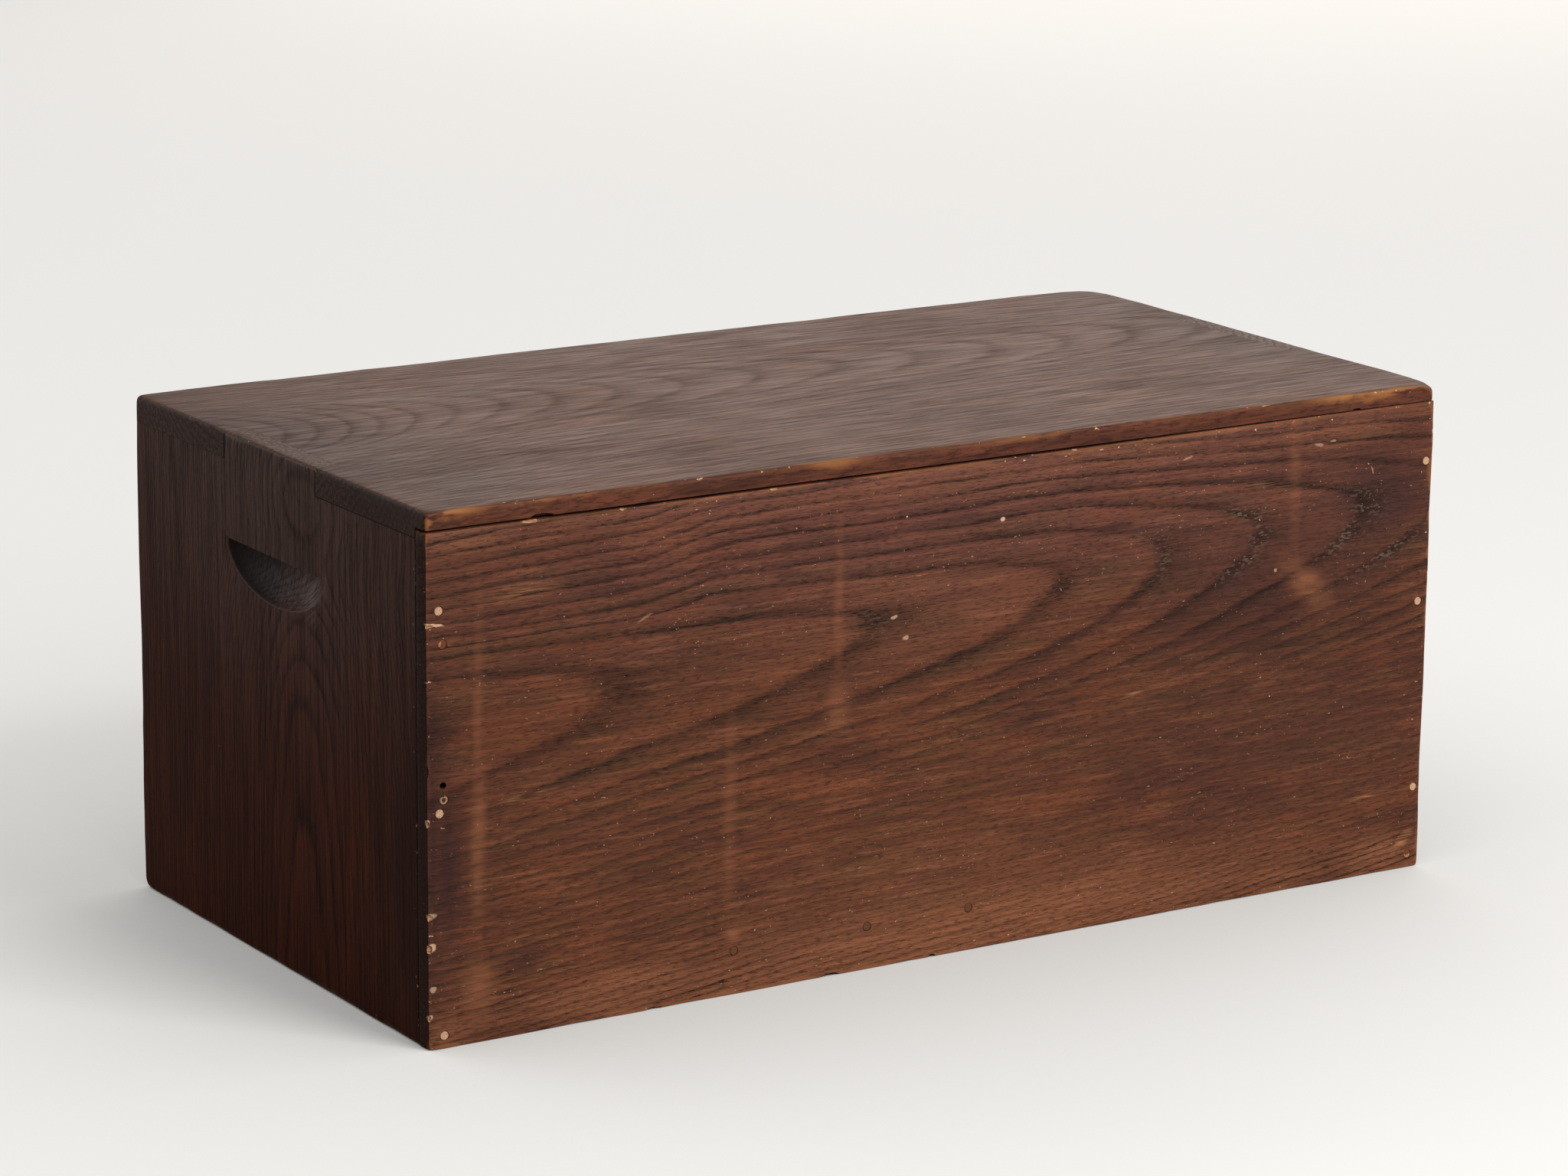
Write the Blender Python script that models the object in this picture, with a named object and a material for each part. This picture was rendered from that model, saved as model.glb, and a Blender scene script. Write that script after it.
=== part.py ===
# Table cabinet: a finger-jointed case with a pegged back board, scooped hand-holds and three drawers.
# Metres, +Z up. The drawers face -Y, the pegged back board faces +Y, and the long side runs along X.
import math

import bmesh
import bpy
from mathutils import Matrix, Vector

MM = 0.001

# Case, outside
WIDTH = 520 * MM
DEPTH = 270 * MM
HEIGHT = 228 * MM

# Clearances
FIT = 0.3 * MM             # between boards that touch
PEG_FIT = 0.15 * MM        # round a peg or a knob's tenon
DRAWER_GAP = 0.8 * MM      # beside and above a drawer
DRAWER_SETBACK = 1.5 * MM  # drawer fronts behind the case's front edges
DRAWER_END_GAP = 1.5 * MM  # behind a closed drawer

# Case boards
END_T = 11 * MM
TOP_T = 12 * MM
TOP_EDGE_T = 7.5 * MM      # what the rebate for the back board leaves of the top
BACK_T = 8.5 * MM
BACK_SHRINK = 1.3 * MM     # gap that the shrunken back board leaves under the top
BOTTOM_T = 9 * MM
BOTTOM_RISE = 15 * MM
SHELF_T = 9 * MM
DIVIDER_T = 10 * MM
PLINTH_T = 12 * MM
PLINTH_SETBACK = 2 * MM
END_HOUSING = 4 * MM       # depth of the housings in the ends
DIVIDER_HOUSING = 3 * MM   # depth of the housings for the divider
LOWER_OPENING = 112 * MM
FRONT_FINGER = 89 * MM     # lengths of the top's fingers, in front of and behind the end's own finger
REAR_FINGER = 87 * MM

# Wear on edges
TOP_CORNERS_R = (1.5 * MM, 2.5 * MM, 5 * MM, 1.5 * MM)  # right rear, left rear, left front, right front
TOP_ARRIS = 1.4 * MM
END_ARRIS = 1.6 * MM
FOOT_CORNER_R = 5 * MM     # lower front corners of the ends
EASE = 0.5 * MM
CUT_PAST = 2 * MM          # how far a cutter runs past the wood

# Half-moon hand-hold in each end
HOLD_CHORD = 93 * MM
HOLD_SAG = 22 * MM
HOLD_DROP = 46.6 * MM      # from the top of the case to the flat upper edge
HOLD_DEPTH = 8 * MM

# Pegs through the back board: stretch of the end, share of its height, share of the end's thickness
PEG_R = 2 * MM
PEG_TIP_R = 1.6 * MM
PEG_EASE = 0.3 * MM
PEG_LENGTH = 24 * MM
PEGS_RIGHT = (("upper", 0.56, 0.54), ("upper", 0.37, 0.69), ("lower", 0.74, 0.71), ("lower", 0.69, 0.53),
              ("foot", 0.39, 0.67))
PEGS_LEFT = (("upper", 0.64, 0.35), ("lower", 0.92, 0.51), ("lower", 0.13, 0.38), ("foot", 0.44, 0.56))
PEGS_BOTTOM = (0.284, 0.414, 0.516)  # share of the width, from the right end
LOST_PEG = ("lower", 0.795, 0.68)    # empty hole in the right edge
LOST_PEG_R = 1.5 * MM

# Drawers
FRONT_T = 12 * MM
FRONT_LIP = 5 * MM         # what the rebate for a side leaves of the front
SIDE_T = 7 * MM
DRAWER_BACK_T = 7 * MM
DRAWER_BACK_DROP = 5 * MM  # drawer back below its sides
PANEL_T = 5 * MM
PANEL_RISE = 5 * MM
PANEL_GROOVE = 3 * MM

# Turned knobs
KNOB_R = 9 * MM
KNOB_NECK_R = 4.6 * MM
KNOB_COLLAR_R = 6.5 * MM
KNOB_TENON_R = 3.5 * MM
KNOB_REACH = 15 * MM       # out of the drawer's front

# Derived places
FRONT_Y = (KNOB_REACH - DRAWER_SETBACK - DEPTH) / 2  # keeps the whole part centred on the origin
BACK_Y = FRONT_Y + DEPTH
CASE_BACK = BACK_Y - BACK_T - FIT       # rear edges of the boards that the back board covers
INNER_X = WIDTH / 2 - END_T
UNDER_TOP = HEIGHT - TOP_T
BACK_TOP = HEIGHT - TOP_EDGE_T - BACK_SHRINK
FLOOR_Z = BOTTOM_RISE + BOTTOM_T
SHELF_Z = FLOOR_Z + LOWER_OPENING
UPPER_Z = SHELF_Z + SHELF_T
DRAWER_FRONT_Y = FRONT_Y + DRAWER_SETBACK
DRAWER_BACK_Y = BACK_Y - BACK_T - DRAWER_END_GAP
STRETCHES = {"foot": (0, BOTTOM_RISE), "lower": (FLOOR_Z, SHELF_Z), "upper": (UPPER_Z, BACK_TOP)}

# Colours, linear
OLD_WOOD = (0.105, 0.040, 0.018)
TOP_WOOD = (0.120, 0.060, 0.034)
END_WOOD = (0.060, 0.022, 0.011)
INNER_WOOD = (0.240, 0.135, 0.065)
PEG_WOOD = (0.520, 0.330, 0.180)
KNOB_WOOD = (0.055, 0.022, 0.012)


def clear_scene():
    for item in list(bpy.data.objects):
        bpy.data.objects.remove(item, do_unlink=True)
    for mesh in list(bpy.data.meshes):
        bpy.data.meshes.remove(mesh)


def make_group(name, place):
    empty = bpy.data.objects.new(name, None)
    empty.location = place
    bpy.context.scene.collection.objects.link(empty)
    return empty


def make_object(name, bm):
    bmesh.ops.recalc_face_normals(bm, faces=bm.faces)
    mesh = bpy.data.meshes.new(name)
    bm.to_mesh(mesh)
    bm.free()
    item = bpy.data.objects.new(name, mesh)
    bpy.context.scene.collection.objects.link(item)
    return item


def carve(item, cutter_bm):
    """Cut the shapes in cutter_bm out of the object with one Boolean, and drop the cutter."""
    cutter = make_object(item.name + "_cutter", cutter_bm)
    step = item.modifiers.new("carve", "BOOLEAN")
    step.operation = "DIFFERENCE"
    step.solver = "EXACT"
    step.object = cutter
    bpy.context.view_layer.objects.active = item
    bpy.ops.object.modifier_apply(modifier=step.name)
    spare = cutter.data
    bpy.data.objects.remove(cutter, do_unlink=True)
    bpy.data.meshes.remove(spare)


def place(item, group, colour, roughness):
    """Put the object's origin in the middle of its mesh, parent it to its group and give it its material."""
    corners = [Vector(corner) for corner in item.bound_box]
    middle = (corners[0] + corners[6]) / 2
    item.data.transform(Matrix.Translation(-middle))
    item.parent = group
    item.location = middle - group.location
    material = bpy.data.materials.new(item.name + "_wood")
    material.use_nodes = True
    shader = material.node_tree.nodes["Principled BSDF"]
    shader.inputs["Base Color"].default_value = (*colour, 1)
    shader.inputs["Roughness"].default_value = roughness
    shader.inputs["Metallic"].default_value = 0
    item.data.materials.clear()
    item.data.materials.append(material)
    return item


def add_block(bm, low, high):
    size = Vector(high) - Vector(low)
    middle = (Vector(high) + Vector(low)) / 2
    bmesh.ops.create_cube(bm, size=1, matrix=Matrix.Translation(middle) @ Matrix.Diagonal((*size, 1)))


def add_rod(bm, start, end, start_r, end_r, sides):
    """Round rod between two points, tapering from start_r to end_r."""
    run = Vector(end) - Vector(start)
    turn = run.to_track_quat("Z", "Y").to_matrix().to_4x4()
    middle = (Vector(start) + Vector(end)) / 2
    bmesh.ops.create_cone(bm, cap_ends=True, segments=sides, radius1=start_r, radius2=end_r, depth=run.length,
                          matrix=Matrix.Translation(middle) @ turn)


def soften(bm, offset, segments, test):
    """Bevel the edges whose two ends both pass the test."""
    edges = [edge for edge in bm.edges if all(test(vert.co) for vert in edge.verts)]
    bmesh.ops.bevel(bm, geom=edges, offset=offset, segments=segments, profile=0.5, affect="EDGES")


def near(a, b):
    return abs(a - b) < 1e-6


def arc(centre_a, centre_b, radius, start_deg, end_deg, steps):
    """Points of an arc in a plane, both ends included."""
    points = []
    for step in range(steps + 1):
        angle = math.radians(start_deg + (end_deg - start_deg) * step / steps)
        points.append((centre_a + radius * math.cos(angle), centre_b + radius * math.sin(angle)))
    return points


def extrude_outline(outline, run):
    """Closed prism: the outline as one face, extruded along run."""
    bm = bmesh.new()
    face = bm.faces.new([bm.verts.new(point) for point in outline])
    grown = bmesh.ops.extrude_face_region(bm, geom=[face])
    moved = [part for part in grown["geom"] if isinstance(part, bmesh.types.BMVert)]
    bmesh.ops.translate(bm, vec=run, verts=moved)
    return bm


def make_board(name, low, high):
    """Plain board with every edge lightly eased."""
    bm = bmesh.new()
    add_block(bm, low, high)
    bmesh.ops.bevel(bm, geom=list(bm.edges), offset=EASE, segments=2, profile=0.5, affect="EDGES")
    return make_object(name, bm)


def peg_head(sign, stretch, height_share, inset_share):
    """Place of a peg's head in the back board's face, over the rear edge of one end."""
    low, high = STRETCHES[stretch]
    return Vector((sign * (WIDTH / 2 - inset_share * END_T), BACK_Y, low + height_share * (high - low)))


def back_pegs():
    """Each back peg's name and the place of its head in the back board's face."""
    pegs = []
    for side, sign, rows in (("right", 1, PEGS_RIGHT), ("left", -1, PEGS_LEFT)):
        for number, row in enumerate(rows, 1):
            pegs.append((f"back_peg_{side}_{number}", peg_head(sign, *row)))
    for number, share in enumerate(PEGS_BOTTOM, 1):
        x = WIDTH / 2 - share * WIDTH
        pegs.append((f"back_peg_bottom_{number}", Vector((x, BACK_Y, BOTTOM_RISE + BOTTOM_T / 2))))
    return pegs


def add_peg_holes(bm, wanted):
    """Bores for the pegs whose names pass the test, run past the back face and past the pegs' tips."""
    for name, head in back_pegs():
        if wanted(name):
            add_rod(bm, head + Vector((0, CUT_PAST, 0)), head - Vector((0, PEG_LENGTH + FIT, 0)),
                    PEG_R + PEG_FIT, PEG_R + PEG_FIT, 24)
    if wanted("back_peg_right_lost"):
        head = peg_head(1, *LOST_PEG)
        add_rod(bm, head + Vector((0, CUT_PAST, 0)), head - Vector((0, PEG_LENGTH, 0)),
                LOST_PEG_R, LOST_PEG_R, 20)


def add_hand_hold(bm, sign):
    """Half-moon scoop: the lower half of a flattened ball that dips into the end's outer face."""
    stretch = 1 / math.sqrt(0.75)     # the face cuts the ball half-way between its middle and its side
    radii = (2 * HOLD_DEPTH, HOLD_CHORD / 2 * stretch, HOLD_SAG * stretch)
    middle = Vector((sign * (WIDTH / 2 + HOLD_DEPTH), FRONT_Y + DEPTH / 2, HEIGHT - HOLD_DROP))
    ball = bmesh.new()
    bmesh.ops.create_uvsphere(ball, u_segments=56, v_segments=28, radius=1,
                              matrix=Matrix.Rotation(math.radians(90), 4, "Y"))
    cut = bmesh.ops.bisect_plane(ball, geom=ball.verts[:] + ball.edges[:] + ball.faces[:], dist=1e-7,
                                 plane_co=(0, 0, 0), plane_no=(0, 0, 1), clear_outer=True)
    rim = [part for part in cut["geom_cut"] if isinstance(part, bmesh.types.BMEdge)]
    bmesh.ops.contextual_create(ball, geom=rim)
    ball.transform(Matrix.Translation(middle) @ Matrix.Diagonal((*radii, 1)))
    spare = bpy.data.meshes.new("ball")
    ball.to_mesh(spare)
    ball.free()
    bm.from_mesh(spare)
    bpy.data.meshes.remove(spare)


def build_end(name, sign, group):
    """End board with its middle finger, its housings, the hand-hold and the holes for the back's pegs."""
    shoulder = UNDER_TOP - FIT
    finger_front = FRONT_Y + FRONT_FINGER + FIT / 2
    finger_back = CASE_BACK - REAR_FINGER - FIT / 2
    foot = FRONT_Y + FOOT_CORNER_R
    profile = arc(foot, FOOT_CORNER_R, FOOT_CORNER_R, 180, 270, 5)
    profile += [(CASE_BACK, 0), (CASE_BACK, shoulder), (finger_back, shoulder), (finger_back, HEIGHT),
                (finger_front, HEIGHT), (finger_front, shoulder), (FRONT_Y, shoulder)]
    outer = sign * WIDTH / 2
    bm = extrude_outline([(outer, y, z) for y, z in profile], (-sign * END_T, 0, 0))
    soften(bm, END_ARRIS, 3, lambda co: near(co.x, outer) and (near(co.y, FRONT_Y) or co.z < FOOT_CORNER_R))
    soften(bm, TOP_ARRIS, 3, lambda co: near(co.x, outer) and near(co.z, HEIGHT))
    end = make_object(name, bm)
    cutters = bmesh.new()
    xs = sorted((sign * (INNER_X - CUT_PAST), sign * (INNER_X + END_HOUSING)))
    for low, high in ((BOTTOM_RISE, FLOOR_Z), (SHELF_Z, UPPER_Z)):
        add_block(cutters, (xs[0], FRONT_Y - CUT_PAST, low - FIT), (xs[1], CASE_BACK + CUT_PAST, high + FIT))
    carve(end, cutters)
    cutters = bmesh.new()
    add_hand_hold(cutters, sign)
    carve(end, cutters)
    cutters = bmesh.new()
    add_peg_holes(cutters, lambda peg: peg.startswith("back_peg_right" if sign > 0 else "back_peg_left"))
    carve(end, cutters)
    return place(end, group, END_WOOD, 0.55)


def build_top(group):
    """Top with worn corners, notches for the ends' fingers, a rebate for the back and a housing below."""
    outline = []
    corners = ((1, BACK_Y, -1), (-1, BACK_Y, -1), (-1, FRONT_Y, 1), (1, FRONT_Y, 1))
    for turn, ((side, edge_y, inward), radius) in enumerate(zip(corners, TOP_CORNERS_R)):
        x = side * (WIDTH / 2 - radius)
        outline += arc(x, edge_y + inward * radius, radius, 90 * turn, 90 * turn + 90, 6)
    bm = extrude_outline([(x, y, UNDER_TOP) for x, y in outline], (0, 0, TOP_T))
    soften(bm, TOP_ARRIS, 3, lambda co: near(co.z, HEIGHT))
    top = make_object("top_board", bm)
    cutters = bmesh.new()
    for sign in (-1, 1):
        xs = sorted((sign * (INNER_X - FIT), sign * (WIDTH / 2 + CUT_PAST)))
        add_block(cutters, (xs[0], FRONT_Y + FRONT_FINGER - FIT / 2, UNDER_TOP - CUT_PAST),
                  (xs[1], CASE_BACK - REAR_FINGER + FIT / 2, HEIGHT + CUT_PAST))
    carve(top, cutters)
    cutters = bmesh.new()
    add_block(cutters, (-WIDTH, CASE_BACK, UNDER_TOP - CUT_PAST),
              (WIDTH, BACK_Y + CUT_PAST, HEIGHT - TOP_EDGE_T))
    carve(top, cutters)
    cutters = bmesh.new()
    add_block(cutters, (-DIVIDER_T / 2 - FIT, FRONT_Y - CUT_PAST, UNDER_TOP - CUT_PAST),
              (DIVIDER_T / 2 + FIT, CASE_BACK + CUT_PAST, UNDER_TOP + DIVIDER_HOUSING))
    carve(top, cutters)
    return place(top, group, TOP_WOOD, 0.5)


def build_back(group):
    back = make_board("back_board", (-WIDTH / 2, BACK_Y - BACK_T, 0), (WIDTH / 2, BACK_Y, BACK_TOP))
    cutters = bmesh.new()
    add_peg_holes(cutters, lambda peg: True)
    carve(back, cutters)
    return place(back, group, OLD_WOOD, 0.45)


def build_inside(group):
    """Bottom board, shelf, divider and plinth rail."""
    reach = INNER_X + END_HOUSING - FIT
    bottom = make_board("bottom_board", (-reach, FRONT_Y, BOTTOM_RISE), (reach, CASE_BACK, FLOOR_Z))
    cutters = bmesh.new()
    add_peg_holes(cutters, lambda peg: peg.startswith("back_peg_bottom"))
    carve(bottom, cutters)
    place(bottom, group, INNER_WOOD, 0.6)
    shelf = make_board("mid_shelf", (-reach, FRONT_Y, SHELF_Z), (reach, CASE_BACK, UPPER_Z))
    cutters = bmesh.new()
    add_block(cutters, (-DIVIDER_T / 2 - FIT, FRONT_Y - CUT_PAST, UPPER_Z - DIVIDER_HOUSING),
              (DIVIDER_T / 2 + FIT, CASE_BACK + CUT_PAST, UPPER_Z + CUT_PAST))
    carve(shelf, cutters)
    place(shelf, group, INNER_WOOD, 0.6)
    divider = make_board("upper_divider", (-DIVIDER_T / 2, FRONT_Y, UPPER_Z - DIVIDER_HOUSING + FIT),
                         (DIVIDER_T / 2, CASE_BACK, UNDER_TOP + DIVIDER_HOUSING - FIT))
    place(divider, group, INNER_WOOD, 0.6)
    plinth = make_board("plinth_rail", (-INNER_X + FIT, FRONT_Y + PLINTH_SETBACK, 0),
                        (INNER_X - FIT, FRONT_Y + PLINTH_SETBACK + PLINTH_T, BOTTOM_RISE - FIT))
    place(plinth, group, OLD_WOOD, 0.5)


def build_pegs(group):
    """Tapered pegs with lightly rounded heads, flush with the back board."""
    for name, head in back_pegs():
        bm = bmesh.new()
        add_rod(bm, head, head - Vector((0, PEG_LENGTH, 0)), PEG_R, PEG_TIP_R, 20)
        soften(bm, PEG_EASE, 2, lambda co: near(co.y, BACK_Y))
        place(make_object(name, bm), group, PEG_WOOD, 0.7)


def build_knob(name, x, z, group):
    """Turned knob, spun from its half profile: tenon, collar, neck and domed head."""
    face = DRAWER_FRONT_Y
    tip = face - KNOB_REACH
    profile = [(0, face + FRONT_T), (KNOB_TENON_R, face + FRONT_T), (KNOB_TENON_R, face - FIT),
               (KNOB_COLLAR_R, face - FIT), (KNOB_COLLAR_R, face - 0.1 * KNOB_REACH),
               (KNOB_NECK_R, face - 0.24 * KNOB_REACH), (KNOB_NECK_R, face - 0.36 * KNOB_REACH)]
    dome = 0.36 * KNOB_REACH
    centre = tip + dome
    for part in range(7):
        angle = math.radians(-25 + 115 * part / 6)
        profile.append((KNOB_R * math.cos(angle), centre - dome * math.sin(angle)))
    profile[-1] = (0, tip)
    bm = bmesh.new()
    chain = [bm.verts.new((x + radius, y, z)) for radius, y in profile]
    edges = [bm.edges.new(pair) for pair in zip(chain, chain[1:])]
    bmesh.ops.spin(bm, geom=chain + edges, cent=(x, 0, z), axis=(0, 1, 0), angle=math.tau, steps=28,
                   use_merge=True)
    bmesh.ops.remove_doubles(bm, verts=bm.verts, dist=0.00001)
    place(make_object(name, bm), group, KNOB_WOOD, 0.4)


def build_drawer(name, low_x, high_x, low_z, high_z, knobs):
    """Drawer with a lapped front, grooved sides, a lower back and a sliding-in bottom panel."""
    middle_z = (low_z + high_z) / 2
    group = make_group(name, Vector(((low_x + high_x) / 2, DRAWER_FRONT_Y, middle_z)))
    back_y = DRAWER_BACK_Y
    inner_y = DRAWER_FRONT_Y + FRONT_T
    lap_y = DRAWER_FRONT_Y + FRONT_LIP
    panel_z = low_z + PANEL_RISE
    panel_top = panel_z + PANEL_T

    front = make_board(name + "_front", (low_x, DRAWER_FRONT_Y, low_z), (high_x, inner_y, high_z))
    cutters = bmesh.new()
    for start, end in ((low_x - CUT_PAST, low_x + SIDE_T + FIT), (high_x - SIDE_T - FIT, high_x + CUT_PAST)):
        add_block(cutters, (start, lap_y, low_z - CUT_PAST), (end, inner_y + CUT_PAST, high_z + CUT_PAST))
    carve(front, cutters)
    cutters = bmesh.new()
    add_block(cutters, (low_x, lap_y + PANEL_GROOVE, panel_z - FIT),
              (high_x, inner_y + CUT_PAST, panel_top + FIT))
    for x in knobs:
        add_rod(cutters, (x, DRAWER_FRONT_Y - CUT_PAST, middle_z), (x, inner_y + CUT_PAST, middle_z),
                KNOB_TENON_R + PEG_FIT, KNOB_TENON_R + PEG_FIT, 24)
    carve(front, cutters)
    place(front, group, OLD_WOOD, 0.45)

    for side, sign, face_x in (("left", 1, low_x), ("right", -1, high_x)):
        xs = sorted((face_x, face_x + sign * SIDE_T))
        board = make_board(f"{name}_{side}_side", (xs[0], lap_y + FIT, low_z), (xs[1], back_y, high_z))
        cutters = bmesh.new()
        groove = sorted((face_x + sign * (SIDE_T - PANEL_GROOVE), face_x + sign * (SIDE_T + CUT_PAST)))
        add_block(cutters, (groove[0], lap_y, panel_z - FIT), (groove[1], back_y + CUT_PAST, panel_top + FIT))
        carve(board, cutters)
        place(board, group, INNER_WOOD, 0.6)

    rear = make_board(name + "_back", (low_x + SIDE_T + FIT, back_y - DRAWER_BACK_T, panel_top + FIT),
                      (high_x - SIDE_T - FIT, back_y, high_z - DRAWER_BACK_DROP))
    place(rear, group, INNER_WOOD, 0.6)
    tuck = SIDE_T - PANEL_GROOVE + FIT
    panel = make_board(name + "_bottom", (low_x + tuck, lap_y + PANEL_GROOVE + FIT, panel_z),
                       (high_x - tuck, back_y, panel_top))
    place(panel, group, INNER_WOOD, 0.6)
    for number, x in enumerate(knobs, 1):
        label = name + "_knob" + (f"_{number}" if len(knobs) > 1 else "")
        build_knob(label, x, middle_z, group)


def build_drawers():
    low = FLOOR_Z + FIT
    wide = INNER_X - DRAWER_GAP
    near_x = DIVIDER_T / 2 + DRAWER_GAP
    knob_x = (wide + near_x) / 2
    build_drawer("long_drawer", -wide, wide, low, SHELF_Z - DRAWER_GAP, (-knob_x, knob_x))
    low = UPPER_Z + FIT
    high = UNDER_TOP - DRAWER_GAP
    build_drawer("left_drawer", -wide, -near_x, low, high, (-knob_x,))
    build_drawer("right_drawer", near_x, wide, low, high, (knob_x,))


clear_scene()
case = make_group("case", Vector((0, 0, 0)))
build_end("left_end", -1, case)
build_end("right_end", 1, case)
build_top(case)
build_back(case)
build_inside(case)
build_pegs(case)
build_drawers()
bpy.context.view_layer.update()
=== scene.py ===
import bpy
import math
from mathutils import Matrix, Vector, noise


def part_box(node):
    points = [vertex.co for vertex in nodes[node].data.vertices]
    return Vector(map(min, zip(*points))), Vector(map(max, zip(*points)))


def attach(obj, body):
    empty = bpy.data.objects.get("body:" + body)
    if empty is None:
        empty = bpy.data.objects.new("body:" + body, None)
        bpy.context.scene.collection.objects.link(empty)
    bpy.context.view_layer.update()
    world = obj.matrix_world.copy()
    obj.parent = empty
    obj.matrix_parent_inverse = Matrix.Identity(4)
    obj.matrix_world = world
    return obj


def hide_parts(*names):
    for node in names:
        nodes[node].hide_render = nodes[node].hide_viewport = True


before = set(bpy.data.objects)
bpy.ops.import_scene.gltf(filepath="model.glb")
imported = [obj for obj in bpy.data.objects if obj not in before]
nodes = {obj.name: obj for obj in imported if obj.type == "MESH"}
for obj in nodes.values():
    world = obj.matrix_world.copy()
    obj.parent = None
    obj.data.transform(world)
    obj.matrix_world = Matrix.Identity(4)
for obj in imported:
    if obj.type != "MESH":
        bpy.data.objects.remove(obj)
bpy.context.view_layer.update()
print("frame loaded,", len(nodes), "nodes")


def hexColour(text):
    parts = [int(text[i:i + 2], 16) / 255 for i in (1, 3, 5)]
    return [c / 12.92 if c <= 0.04045 else ((c + 0.055) / 1.055) ** 2.4 for c in parts] + [1]


def addNode(tree, kind, settings=None, links=None):
    node = tree.nodes.new("ShaderNode" + kind)
    for name, value in (settings or {}).items():
        if name == "stops":  # colour ramp: (place, grey)
            ends = node.color_ramp.elements
            for stop in value[1:-1]:
                ends.new(stop[0])
            for element, (spot, grey) in zip(ends, value):
                element.position = spot
                element.color = (grey, grey, grey, 1)
        elif name == "points":  # float curve: (in, out)
            curve = node.mapping.curves[0]
            for point in value[1:-1]:
                curve.points.new(*point)
            for point, spot in zip(curve.points, value):
                point.location = spot
            node.mapping.update()
        else:
            setattr(node, name, value)
    for name, value in (links or {}).items():
        if isinstance(name, int):
            socket = node.inputs[name]
        else:
            socket = [s for s in node.inputs if s.enabled and s.name == name][0]
        if isinstance(value, bpy.types.Node):
            value = [s for s in value.outputs if s.enabled][0]
        if isinstance(value, bpy.types.NodeSocket):
            tree.links.new(value, socket)
        else:
            socket.default_value = value
    return node


# Settings that many nodes share
smooth = {"interpolation_type": "SMOOTHSTEP"}
mixColours = {"data_type": "RGBA"}
timesClamped = {"operation": "MULTIPLY", "use_clamp": True}
timesPlus = {"operation": "MULTIPLY_ADD"}
times = {"operation": "MULTIPLY"}
minus = {"operation": "SUBTRACT"}
larger = {"operation": "MAXIMUM"}
smaller = {"operation": "MINIMUM"}
unsigned = {"operation": "ABSOLUTE"}
length = {"operation": "LENGTH"}


def startMaterial(name):
    material = bpy.data.materials.new(name)
    material.use_nodes = True
    material.node_tree.nodes.clear()
    return material, material.node_tree


# Board coordinates in millimetres: along the grain, across it, and into the wood
def boardPlace(tree, look):
    place = addNode(tree, "TexCoord")
    axes = addNode(tree, "SeparateXYZ", None, {0: place.outputs["Object"]})
    lines = []
    for axis, factor, start in (look["along"], look["across"], look["deep"]):
        lines.append(addNode(tree, "Math", timesPlus, {0: axes.outputs[axis], 1: factor, 2: start}))
    spot = addNode(tree, "CombineXYZ", None, {0: lines[0], 1: lines[1], 2: lines[2]})
    return place, axes, lines, spot


# Noise whose grains have the given size in millimetres
def grainNoise(tree, spot, size, detail, seed):
    scaled = addNode(tree, "Mapping", None, {"Vector": spot, "Location": (seed, seed * 0.7, seed * 0.3),
                                             "Scale": [1 / s for s in size]})
    return addNode(tree, "TexNoise", None, {"Vector": scaled, "Scale": 1, "Detail": detail, "Roughness": 0.55})


# The same noise as a soft mask: 0 below the first level, full above the second
def grainMask(tree, spot, size, detail, seed, first, second, full=1):
    grain = grainNoise(tree, spot, size, detail, seed)
    return addNode(tree, "MapRange", smooth, {"Value": grain, "From Min": first, "From Max": second, "To Max": full})


# The shader that every wood ends in
def finishWood(material, tree, shade, gloss, bump, shine):
    wood = addNode(tree, "BsdfPrincipled", None, {"Base Color": shade, "Roughness": gloss, "Normal": bump, "IOR": 1.5,
                                                  "Specular IOR Level": shine})
    addNode(tree, "OutputMaterial", None, {"Surface": wood})
    return material


ringLook = {  # millimetres
    "wander": (170, 60, 60), "ripple": (50, 13, 13), "ragged": (16, 3, 3), "uneven": (70, 6, 6),
    "leanWidth": 12, "balance": 1.03, "outerFrom": 35, "curveLength": 600, "curveRange": 40,
}


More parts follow.
